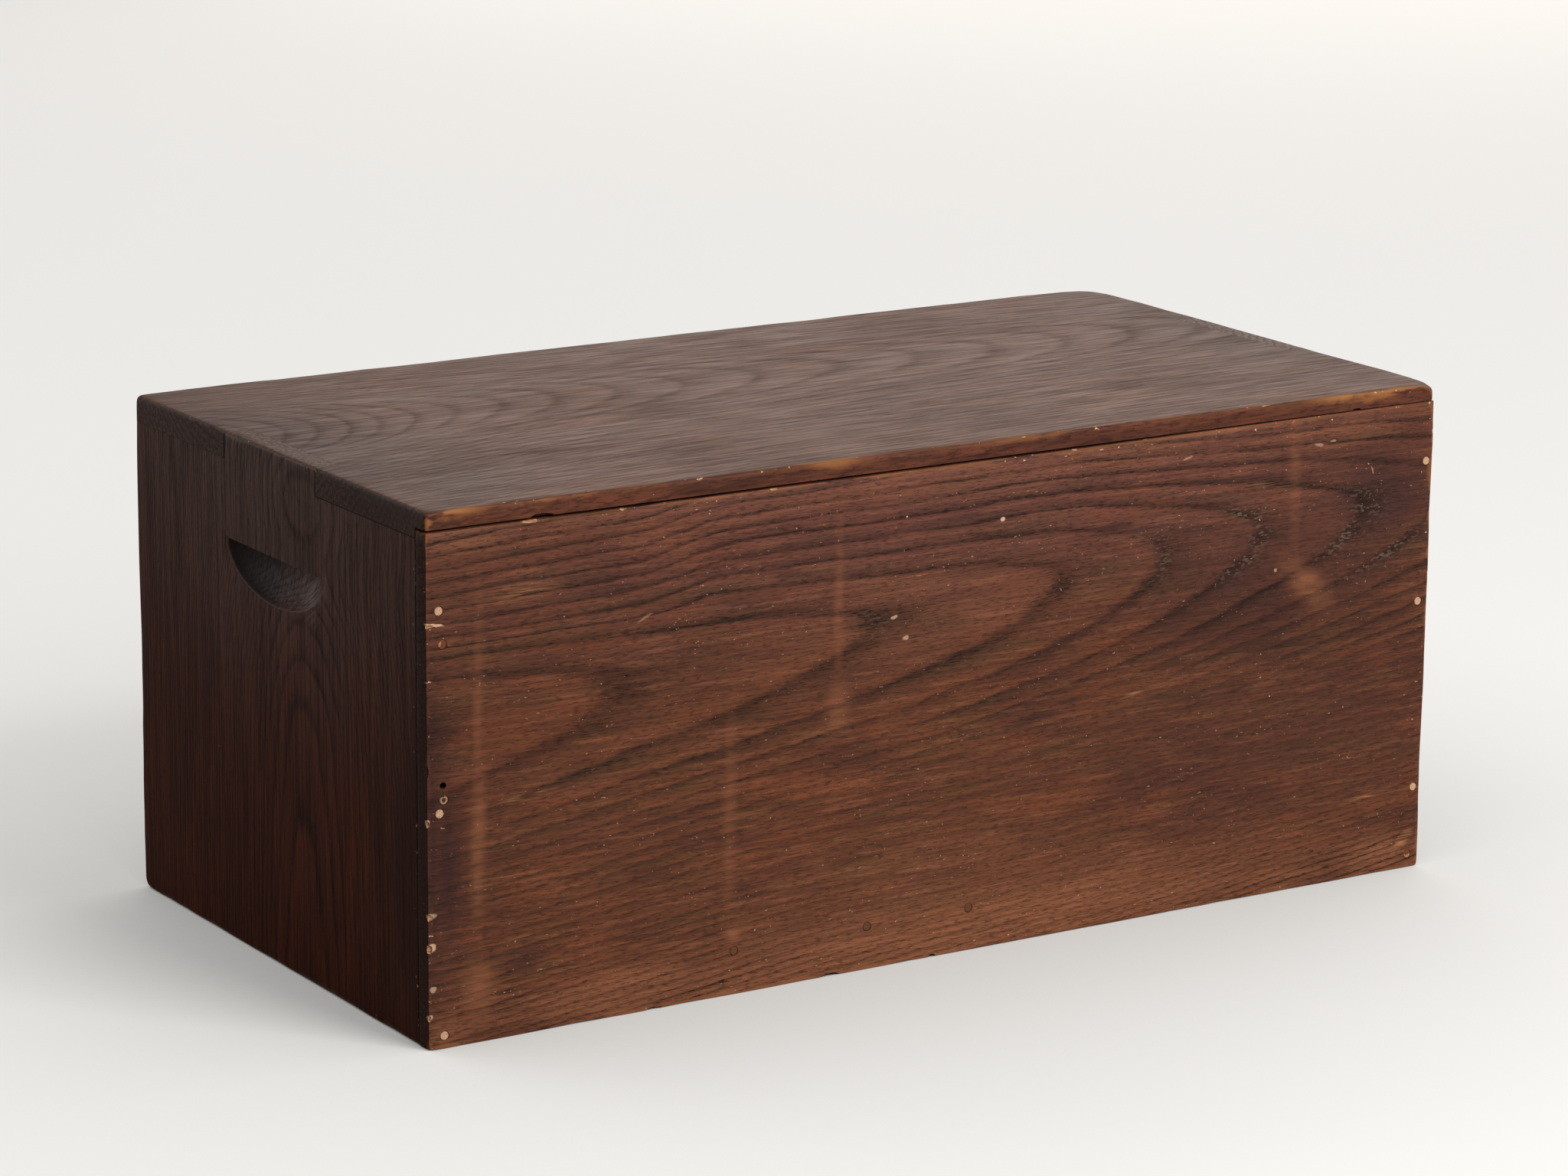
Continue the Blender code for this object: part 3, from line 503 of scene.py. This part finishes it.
for name in nodes:
    if name.endswith(("_side", "_back", "_bottom")) or name in ("bottom_board", "mid_shelf", "upper_divider"):
        seed = innerLook["firstSeed"] + len(innerWoods) * innerLook["seedStep"]
        look = {**innerLook, "name": "agedCedar_" + name, "seed": seed, "box": boxOf(name)}
        if name.endswith("_side"):
            look.update({"along": ("Y", 1000, 130), "across": ("Z", 1000, 0), "deep": ("X", 1000, 260)})
        elif name.endswith("_back"):
            look.update({"across": ("Z", 1000, 0), "deep": ("Y", 1000, 128)})
        elif name == "upper_divider":
            look.update({"along": ("Y", 1000, 130), "across": ("Z", 1000, 0), "deep": ("X", 1000, 20), **stainedEdge})
        elif name in ("bottom_board", "mid_shelf"):
            look.update(stainedEdge)
        innerWoods[name] = oldBoard(look)
print("boards finished")

# Pegs: split hardwood, cut flush; a disc of end grain with fine pores, some still holding stain
pegLook = {
    "bright": {"wood": "#d2a988", "pore": "#9a7452", "stain": "#6e4a35", "cover": 0.12},
    "half": {"wood": "#b98258", "pore": "#7c5239", "stain": "#70412c", "cover": 0.6},
    "ringed": {"wood": "#b48867", "pore": "#4a3026", "stain": "#38241c", "cover": 0.45},
    "dark": {"wood": "#6b442f", "pore": "#4e3022", "stain": "#573523", "cover": 0.5},
}
pegTone = {"back_peg_right_2": "half", "back_peg_right_3": "ringed", "back_peg_left_4": "half",
           "back_peg_bottom_1": "dark", "back_peg_bottom_2": "dark", "back_peg_bottom_3": "dark"}
pegGrain = {"dots": (0.4, 6, 0.4), "smear": (2, 12, 2)}  # millimetres


def pegWood(name, tone):
    look = pegLook[tone]
    low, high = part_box(name)
    material, tree = startMaterial("splitOakPeg_" + name)
    place = addNode(tree, "TexCoord")
    spot = addNode(tree, "Mapping", None, {"Vector": place.outputs["Object"], "Scale": (1000, 1000, 1000),
                                           "Location": [-500 * (a + b) for a, b in zip(low, high)]})
    dots = grainMask(tree, spot, pegGrain["dots"], 2, low[2] * 900, 0.5, 0.7)
    more = look["cover"] * 0.6
    smear = grainMask(tree, spot, pegGrain["smear"], 2, low[2] * 700 + 3, 0.75 - more, 0.85 - more)
    flat = addNode(tree, "Mapping", None, {"Vector": spot, "Scale": (0.5, 0, 0.5)})
    far = addNode(tree, "VectorMath", length, {0: flat})
    rim = addNode(tree, "MapRange", smooth,
                  {"Value": far.outputs["Value"], "From Min": 0.72, "From Max": 1.02, "To Max": 0.8})
    if tone == "ringed":
        heart = addNode(tree, "MapRange", smooth,
                        {"Value": far.outputs["Value"], "From Min": 0.62, "From Max": 0.3})
        smear = addNode(tree, "Math", larger, {0: smear, 1: heart})
    shade = addNode(tree, "Mix", mixColours,
                    {"Factor": dots, "A": hexColour(look["wood"]), "B": hexColour(look["pore"])})
    shade = addNode(tree, "Mix", mixColours, {"Factor": smear, "A": shade, "B": hexColour(look["stain"])})
    shade = addNode(tree, "Mix", mixColours, {"Factor": rim, "A": shade, "B": hexColour(look["stain"])})
    gloss = addNode(tree, "MapRange", None, {"Value": dots, "To Min": 0.5, "To Max": 0.7})
    bump = addNode(tree, "Bump", None, {"Strength": 0.6, "Distance": 0.0001, "Height": dots})
    return finishWood(material, tree, shade, gloss, bump, 0.15)


# Knobs: turned from dark hardwood; rings of the lathe, and handling has polished the crown
knobLook = {"base": "#46291d", "dark": "#2c1912", "rub": "#6b4027", "ring": "#22130e", "rough": 0.34,
            "fibre": (0.8, 14, 0.8), "cloud": (7, 7, 7), "groove": 9, "crown": (6, 0.5)}


def knobWood(name):
    low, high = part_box(name)
    material, tree = startMaterial("turnedHardwood_" + name)
    place = addNode(tree, "TexCoord")
    start = [-500 * (low[0] + high[0]), -1000 * low[1], -500 * (low[2] + high[2])]
    spot = addNode(tree, "Mapping", None,
                   {"Vector": place.outputs["Object"], "Scale": (1000, 1000, 1000), "Location": start})
    fibre = grainMask(tree, spot, knobLook["fibre"], 4, low[0] * 300, 0.4, 0.65)
    cloud = grainNoise(tree, spot, knobLook["cloud"], 3, low[0] * 300 + 9)
    turned = addNode(tree, "Mapping", None, {"Vector": spot, "Scale": (1, 0, 1)})
    turned = addNode(tree, "VectorMath", length, {0: turned})
    grooves = addNode(tree, "Math", times, {0: turned.outputs["Value"], 1: knobLook["groove"]})
    grooves = addNode(tree, "Math", {"operation": "SINE"}, {0: grooves})
    axes = addNode(tree, "SeparateXYZ", None, {0: spot})
    below, above = knobLook["crown"]
    crown = addNode(tree, "MapRange", smooth, {"Value": axes.outputs["Y"], "From Min": below, "From Max": above})
    crown = addNode(tree, "Math", times, {0: crown, 1: cloud})
    shade = addNode(tree, "Mix", mixColours,
                    {"Factor": cloud, "A": hexColour(knobLook["base"]), "B": hexColour(knobLook["dark"])})
    shade = addNode(tree, "Mix", mixColours, {"Factor": fibre, "A": shade, "B": hexColour(knobLook["ring"])})
    shade = addNode(tree, "Mix", mixColours, {"Factor": crown, "A": shade, "B": hexColour(knobLook["rub"])})
    gloss = addNode(tree, "MapRange", None,
                    {"Value": crown, "To Min": knobLook["rough"] + 0.08, "To Max": knobLook["rough"] - 0.06})
    height = addNode(tree, "Math", timesPlus, {0: grooves, 1: 0.15, 2: fibre})
    bump = addNode(tree, "Bump", None, {"Strength": 0.7, "Distance": 0.0001, "Height": height})
    return finishWood(material, tree, shade, gloss, bump, 0.5)


boardWoods = {"back_board": backWood, "top_board": topWood, "right_end": rightEndWood, "left_end": leftEndWood,
              **frontWoods, **innerWoods}
for name, node in nodes.items():
    if name in boardWoods:
        finish = boardWoods[name]
    elif "peg" in name:
        finish = pegWood(name, pegTone.get(name, "bright"))
    else:
        finish = knobWood(name)
    node.data.materials.clear()
    node.data.materials.append(finish)
print("materials on the nodes")

# Worn boards: copies of the case's outer boards whose arrises are rubbed down along the whole case; millimetres
case = {"low": (-260, -128.25, 0), "high": (260, 141.75, 228),
        "step": 9, "near": (0.8, 1.8, 3.4, 5.6), "margin": 8, "skip": 0.2}
wearLook = {"reach": 2.4, "skin": 2, "depth": 0.2, "least": 0.05, "swing": 0.34, "wave": 34, "ripple": 8, "fine": 0.45,
            "cornersAbove": 224,
            "corners": (((-260, -128.25, 228), 9, 1.2), ((-260, 141.75, 228), 6, 1.8))}  # place, reach, loss
boardLook = {
    "top_board": ("worn_top", "top_wood"), "back_board": ("worn_back", "back_wood"),
    "right_end": ("worn_right_end", "end_wood"), "left_end": ("worn_left_end", "end_wood"),
}


def gridLines(low, high, first, last):
    lines = [first + n for n in case["near"]] + [last - n for n in case["near"]]
    count = int((last - first) / case["step"])
    margin, skip = case["margin"], case["skip"]
    lines += [first + margin + (last - first - 2 * margin) * i / count for i in range(count + 1)]
    return [v for v in lines if low + skip < v < high - skip]


def rubArrises(mesh):
    faces = [(i, side, case["high" if side > 0 else "low"][i]) for i in range(3) for side in (1, -1)]
    for vertex in mesh.vertices:
        spot = vertex.co * 1000
        gaps = [abs(place - spot[i]) for i, side, place in faces]
        if sorted(gaps)[1] > 3 * wearLook["reach"]:
            continue
        for corner, reach, loss in wearLook["corners"]:
            if spot.z > wearLook["cornersAbove"]:
                vertex.co.z -= 0.001 * loss * math.exp(-((spot - Vector(corner)).length / reach) ** 2)
        drift = noise.noise(spot / wearLook["wave"]) + wearLook["fine"] * noise.noise(spot / wearLook["ripple"])
        depth = max(wearLook["least"], wearLook["depth"] + wearLook["swing"] * drift)
        for first in range(6):
            for second in range(6):
                if faces[first][0] == faces[second][0]:
                    continue
                close = math.exp(-(gaps[first] / wearLook["skin"]) ** 2 - (gaps[second] / wearLook["reach"]) ** 2)
                i, side, place = faces[first]
                vertex.co[i] -= side * depth * close * 0.001


def wornBoard(node):
    name, slot = boardLook[node]
    piece = bpy.data.objects.new(name, nodes[node].data.copy())
    bpy.context.scene.collection.objects.link(piece)
    low, high = (corner * 1000 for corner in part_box(node))
    bpy.ops.object.select_all(action="DESELECT")
    piece.select_set(True)
    bpy.context.view_layer.objects.active = piece
    bpy.ops.mesh.customdata_custom_splitnormals_clear()
    bpy.ops.object.mode_set(mode="EDIT")
    bpy.ops.mesh.select_all(action="SELECT")
    bpy.ops.mesh.remove_doubles(threshold=0.00001)
    bpy.ops.mesh.dissolve_limited(angle_limit=math.radians(0.3))
    for i in range(3):
        for line in gridLines(low[i], high[i], case["low"][i], case["high"][i]):
            bpy.ops.mesh.select_all(action="SELECT")
            cutPlace, cutNormal = [0, 0, 0], [0, 0, 0]
            cutPlace[i] = line * 0.001
            cutNormal[i] = 1
            bpy.ops.mesh.bisect(plane_co=cutPlace, plane_no=cutNormal, threshold=0.00005)
    bpy.ops.object.mode_set(mode="OBJECT")
    rubArrises(piece.data)
    bpy.ops.object.shade_smooth_by_angle(angle=math.radians(35))
    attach(piece, "case")
    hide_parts(node)
    return piece


# Chips and nicks out of the arrises: tone, place and half sizes in millimetres; the dark tone is old dirt and painted
# shade
chipLook = {
    "worn_back": [
        ("pale", (211, 141.75, 219.2), (4.6, 1.6, 1)), ("pale", (167.5, 141.75, 219.2), (1.7, 1.2, 0.9)),
        ("pale", (94, 141.75, 219.2), (2.2, 1.2, 0.8)), ("pale", (-60, 141.75, 219.2), (1.6, 1, 0.7)),
        ("pale", (260, 141.75, 180.5), (3.4, 0.7, 0.9)), ("pale", (260, 141.75, 97.5), (1.4, 1.1, 1.8)),
        ("pale", (260, 141.75, 57.5), (2.4, 0.9, 1.6)), ("pale", (260, 141.75, 44), (2.2, 1.1, 2)),
        ("pale", (260, 141.75, 14), (1.4, 0.9, 1.4)), ("shadeAndDirt", (260, 141.75, 120), (0.9, 0.9, 2.6)),
        ("shadeAndDirt", (-260, 141.75, 206), (0.8, 0.8, 1.7)), ("pale", (-260, 141.75, 166), (0.8, 0.8, 1.3)),
        ("shadeAndDirt", (-260, 141.75, 139), (0.7, 0.7, 2)), ("shadeAndDirt", (-260, 141.75, 60), (0.8, 0.8, 1.5)),
        ("shadeAndDirt", (152, 141.75, 0), (4.4, 1.5, 1.2)), ("shadeAndDirt", (63, 141.75, 0), (5.4, 1.6, 1.4)),
        ("shadeAndDirt", (10.5, 141.75, 0), (2, 1.2, 1.6)), ("shadeAndDirt", (-120, 141.75, 0), (3, 1, 0.8))],
    "worn_top": [
        ("shadeAndDirt", (206, 141.75, 220.5), (5.8, 1.9, 1.3)), ("pale", (211, 141.75, 228), (9, 0.7, 0.6)),
        ("pale", (184, 141.75, 228), (3.2, 0.6, 0.5)), ("shadeAndDirt", (120, 141.75, 228), (4, 0.7, 0.6)),
        ("pale", (-50, 141.75, 228), (5, 0.7, 0.6)), ("pale", (-165, 141.75, 228), (6, 0.8, 0.7)),
        ("shadeAndDirt", (-215, 141.75, 220.5), (2.6, 1, 0.8)), ("shadeAndDirt", (260, 60, 228), (0.8, 3, 0.8)),
        ("shadeAndDirt", (260, 118, 228), (0.9, 2.2, 0.8)), ("shadeAndDirt", (260, -95, 228), (0.8, 2.4, 0.7)),
        ("pale", (-260, 30, 228), (0.7, 4, 0.6)), ("shadeAndDirt", (80, -128.25, 228), (4, 0.8, 0.7)),
        ("pale", (-130, -128.25, 228), (3, 0.8, 0.7))],
    "worn_right_end": [
        ("shadeAndDirt", (260, -128.25, 190), (1.1, 0.9, 2.6)), ("shadeAndDirt", (260, -128.25, 168), (1, 0.8, 1.8)),
        ("shadeAndDirt", (260, -128.25, 118), (0.8, 0.7, 3)), ("shadeAndDirt", (260, -128.25, 62), (0.9, 0.8, 2)),
        ("shadeAndDirt", (260, 60, 0), (1, 5, 0.8)), ("shadeAndDirt", (260, -60, 0), (1, 4, 0.9))],
    "worn_left_end": [
        ("shadeAndDirt", (-260, -128.25, 150), (1.1, 0.9, 2.4)), ("pale", (-260, -128.25, 84), (0.9, 0.8, 1.8)),
        ("shadeAndDirt", (-260, 20, 0), (1, 5, 0.8))],
}
# the dark breaks are old dirt and painted shade
brokenLook = {"pale": ("brokenChestnut", "#c99b76", "#94643f"), "shadeAndDirt": ("shadeAndDirtChestnut", "#3a241b", "#1d110c")}
brokenShape = {"fibre": (5, 0.6, 0.6), "swell": 0.35, "grain": 1100}
brokenWoods = {}
for tone, (name, light, deep) in brokenLook.items():  # torn fibre: matt, stringy, no stain on the pale ones
    material, tree = startMaterial(name)
    place = addNode(tree, "TexCoord")
    spot = addNode(tree, "Mapping", None, {"Vector": place.outputs["Object"], "Scale": (1000, 1000, 1000)})
    torn = grainMask(tree, spot, brokenShape["fibre"], 4, 12.0, 0.38, 0.66)
    shade = addNode(tree, "Mix", mixColours, {"Factor": torn, "A": hexColour(light), "B": hexColour(deep)})
    matt = addNode(tree, "MapRange", None, {"Value": torn, "To Min": 0.75, "To Max": 0.9})
    bump = addNode(tree, "Bump", None, {"Strength": 1, "Distance": 0.0002, "Height": torn})
    brokenWoods[tone] = finishWood(material, tree, shade, matt, bump, 0.2)


def breakChips(piece):
    for tone, wood in brokenWoods.items():
        cutters = []
        for kind, spot, size in chipLook[piece.name]:
            if kind != tone:
                continue
            bpy.ops.object.select_all(action="DESELECT")
            bpy.ops.mesh.primitive_ico_sphere_add(subdivisions=2, radius=0.001)
            cutter = bpy.context.object
            for vertex in cutter.data.vertices:  # no two breaks alike
                swell = 1 + brokenShape["swell"] * noise.noise(vertex.co * brokenShape["grain"] + Vector(spot))
                vertex.co = [(c * s * swell) + p * 0.001 for c, s, p in zip(vertex.co, size, spot)]
            cutter.data.materials.append(wood)
            cutters.append(cutter)
        if not cutters:
            continue
        bpy.ops.object.select_all(action="DESELECT")
        for cutter in cutters:
            cutter.select_set(True)
        bpy.context.view_layer.objects.active = cutters[0]
        if len(cutters) > 1:
            bpy.ops.object.join()
        cut = piece.modifiers.new("chips", "BOOLEAN")
        cut.operation = "DIFFERENCE"
        cut.solver = "EXACT"
        cut.material_mode = "TRANSFER"
        cut.object = cutters[0]
        bpy.context.view_layer.objects.active = piece
        bpy.ops.object.modifier_apply(modifier=cut.name)
        bpy.data.objects.remove(cutters[0], do_unlink=True)


# Faces with a finish of their own: the ends' fingers, the end grain of the top and the back, the top's long edges
fingerWood = oldBoard({
    **topLook, "name": "rubbedChestnutFingers", "seed": 77.0,
    "along": ("Z", -1000, 228), "across": ("X", -1000, 260), "deep": ("Y", 1000, 128.25),
    "bold": 0.9, "fibre": 0.7, "pores": 0.8, "sawn": "#6a452f", "rubbed": [], "wear": 0.05,
})
sawnBack = oldBoard({
    **backLook, "name": "sawnChestnutBack", "shine": 0.05, "sawn": "#3a2118", "fibre": 0.6, "pores": 0.7,
    "rubBase": 0.05,
})
sawnTop = oldBoard({
    **topLook, "name": "sawnChestnutTop", "shine": 0.06, "sawn": "#533f3a", "fibre": 0.6, "pores": 0.5, "bold": 1.2,
    "rubBase": 0, "darkClouds": [], "cracks": [(0, 89, 12, 1.3, 0, 1)],
    "streaks": [(0, 225, 12, 70, 0, 0.5)], "faded": "#2b1f1b",
})
edgeWood = oldBoard({
    **topLook, "name": "stainedChestnutEdge",
    "base": "#66392a", "dark": "#482a20", "warm": "#784631", "ring": "#2c1a13",
    "shine": 0.15, "wearReach": 6, "rubBase": 0.12, "darkClouds": [],
    "rubbed": [(4, 270, 30, 5, 0, 1), (50, 270, 12, 5, 0, 0.6), (196, 270, 18, 5, 0, 0.55), (484, 270, 46, 6, 0, 1),
               (300, 270, 30, 4, 0, 0.25), (120, 0, 90, 5, 0, 0.6), (400, 0, 70, 5, 0, 0.6)],
})

# Joints worn tight; metres
jointLook = {
    "shut": 0.00022, "frontFinger": -0.0395, "fingerFloor": (0.2155, 0.216),  # under the top's front finger
    "wall": 0.2487, "wallSlack": 0.00005, "wallSpan": (-0.04, 0.047),  # beside the ends' fingers
    "backTop": 0.216, "gapLoss": 0.0009, "gapFrom": 0.06, "gapRun": 0.19,  # above the back
    "fingerTop": 0.2255, "fingerFacing": 0.6, "endFace": 0.2585, "endFacing": 0.75, "edgeFacing": 0.6,
}
for node in boardLook:
    worn = wornBoard(node)
    if node.endswith("_end"):  # the fingers come up flush with the top and share its rubbed finish
        low, high = jointLook["fingerFloor"]
        for vertex in worn.data.vertices:  # the joint under the front finger is worn shut
            if vertex.co.y < jointLook["frontFinger"] and low < vertex.co.z < high:
                vertex.co.z += jointLook["shut"]
        worn.data.materials.append(fingerWood)
        for face in worn.data.polygons:
            if face.center.z > jointLook["fingerTop"] and face.normal.z > jointLook["fingerFacing"]:
                face.material_index = 1
    else:  # end grain of the top's own fingers and of the back
        low, high = jointLook["wallSpan"]
        for vertex in worn.data.vertices:
            wall = abs(abs(vertex.co.x) - jointLook["wall"]) < jointLook["wallSlack"]
            if node == "back_board" and vertex.co.z > jointLook["backTop"]:  # the gap closes towards the far corner
                run = (-vertex.co.x - jointLook["gapFrom"]) / jointLook["gapRun"]
                vertex.co.z += jointLook["gapLoss"] * min(1, max(0, run))
            elif wall and low < vertex.co.y < high:  # fingers sit tight in the top
                vertex.co.x += math.copysign(jointLook["shut"], vertex.co.x)
        worn.data.materials.append(sawnTop if node == "top_board" else sawnBack)
        if node == "top_board":
            worn.data.materials.append(edgeWood)
        for face in worn.data.polygons:
            if abs(face.center.x) > jointLook["endFace"] and abs(face.normal.x) > jointLook["endFacing"]:
                face.material_index = 1
            elif node == "top_board" and abs(face.normal.y) > jointLook["edgeFacing"]:
                face.material_index = 2
    breakChips(worn)
    print(worn.name, len(worn.data.polygons), "faces")

# Floor: plain and pale to the eye; the light that it sends back is warm
floorLook = {"size": 30, "pale": "#bab8b4", "glow": "#f0efec", "bounce": "#77604c", "lift": 0.6,
             "shadowReach": 0.35, "shadowSamples": 8}
bpy.ops.object.select_all(action="DESELECT")
bpy.ops.mesh.primitive_plane_add(size=floorLook["size"], location=(0, 0, 0))
floor = bpy.context.object
floor.name = "floor"
floorPaint, tree = startMaterial("paleFloor")
rays = addNode(tree, "LightPath")
seen = addNode(tree, "Math", larger, {0: rays.outputs["Is Camera Ray"], 1: rays.outputs["Is Glossy Ray"]})
seen = addNode(tree, "Math", larger, {0: seen, 1: rays.outputs["Is Transmission Ray"]})
pale = addNode(tree, "BsdfDiffuse", None, {"Color": hexColour(floorLook["pale"])})
bounce = addNode(tree, "BsdfDiffuse", None, {"Color": hexColour(floorLook["bounce"])})
# the glow dims where the object stands close: a painted contact shadow
clear = addNode(tree, "AmbientOcclusion", {"samples": floorLook["shadowSamples"]},
                {"Distance": floorLook["shadowReach"]})
lift = addNode(tree, "Math", times, {0: rays.outputs["Is Camera Ray"], 1: clear.outputs["AO"]})
lift = addNode(tree, "Math", times, {0: lift, 1: floorLook["lift"]})
lift = addNode(tree, "Emission", None, {"Color": hexColour(floorLook["glow"]), "Strength": lift})
pale = addNode(tree, "AddShader", None, {0: pale, 1: lift})
mixed = addNode(tree, "MixShader", None, {0: seen, 1: bounce, 2: pale})
addNode(tree, "OutputMaterial", None, {"Surface": mixed})
floor.data.materials.append(floorPaint)

# World: soft sky for fill; white to the eye
worldLook = {"fill": "#eef0f2", "fillStrength": 0.34, "seenStrength": 0.9}
world = bpy.data.worlds.new("studio")
bpy.context.scene.world = world
world.use_nodes = True
tree = world.node_tree
tree.nodes.clear()
rays = addNode(tree, "LightPath")
strength = addNode(tree, "MapRange", None, {"Value": rays.outputs["Is Camera Ray"],
                                            "To Min": worldLook["fillStrength"], "To Max": worldLook["seenStrength"]})
sky = addNode(tree, "Background", None, {"Color": hexColour(worldLook["fill"]), "Strength": strength})
addNode(tree, "OutputWorld", None, {"Surface": sky})

# Lamps: a large soft key from the camera's right, half of it without a sheen; a low panel behind for the sheen on
# the top, a soft fill beside it
lampLook = [
    {"name": "key", "place": (-0.9, 2.6, 1.7), "aim": (0, 0, 0.1), "size": 1.6, "power": 49},
    {"name": "keyMatt", "place": (-0.9, 2.6, 1.7), "aim": (0, 0, 0.1), "size": 1.6, "power": 49, "glossy": False},
    {"name": "sheen", "place": (-2.0, -2.3, 1.0), "aim": (0, 0, 0.2), "size": 2.2, "power": 15, "tint": "#fff2e9"},
    {"name": "sideFill", "place": (1.7, -2.3, 0.6), "aim": (0.2, 0, 0.15), "size": 1.2, "power": 10.5},
]
for lamp in lampLook:
    bpy.ops.object.light_add(type="AREA", location=lamp["place"])
    light = bpy.context.object
    light.name = lamp["name"]
    light.data.size = lamp["size"]
    light.data.energy = lamp["power"]
    light.data.color = hexColour(lamp.get("tint", "#ffffff"))[:3]
    light.rotation_euler = (Vector(lamp["aim"]) - Vector(lamp["place"])).to_track_quat("-Z", "Y").to_euler()
    light.visible_camera = False
    light.visible_glossy = lamp.get("glossy", True)
print("floor, world and lamps set")

# Camera: found from the straight outlines of the case in a 2048 x 1536 frame
cameraLook = {"azimuth": 147.612, "elevation": 13.880, "roll": 0.538, "distance": 2.38107,
              "centre": (0, 0.00675, 0.114), "right": -0.00247, "up": 0.02125, "lens": 120.48, "sensor": 36}
turn, rise, roll = (math.radians(cameraLook[k]) for k in ("azimuth", "elevation", "roll"))
back = Vector((math.sin(turn) * math.cos(rise), -math.cos(turn) * math.cos(rise), math.sin(rise)))
level = Vector((math.cos(turn), math.sin(turn), 0))
upright = back.cross(level)
right = math.cos(roll) * level + math.sin(roll) * upright
up = math.cos(roll) * upright - math.sin(roll) * level
aim = Vector(cameraLook["centre"]) + cameraLook["right"] * right + cameraLook["up"] * up
bpy.ops.object.camera_add()
camera = bpy.context.object
camera.name = "photoCamera"
camera.data.lens = cameraLook["lens"]
camera.data.sensor_width = cameraLook["sensor"]
camera.data.clip_start = 0.1
camera.data.clip_end = 100
facing = Matrix((right, up, back)).transposed().to_4x4()
camera.matrix_world = Matrix.Translation(aim + back * cameraLook["distance"]) @ facing
bpy.context.scene.camera = camera
bpy.context.scene.view_settings.view_transform = "Standard"
print("camera set")

bpy.context.view_layer.update()
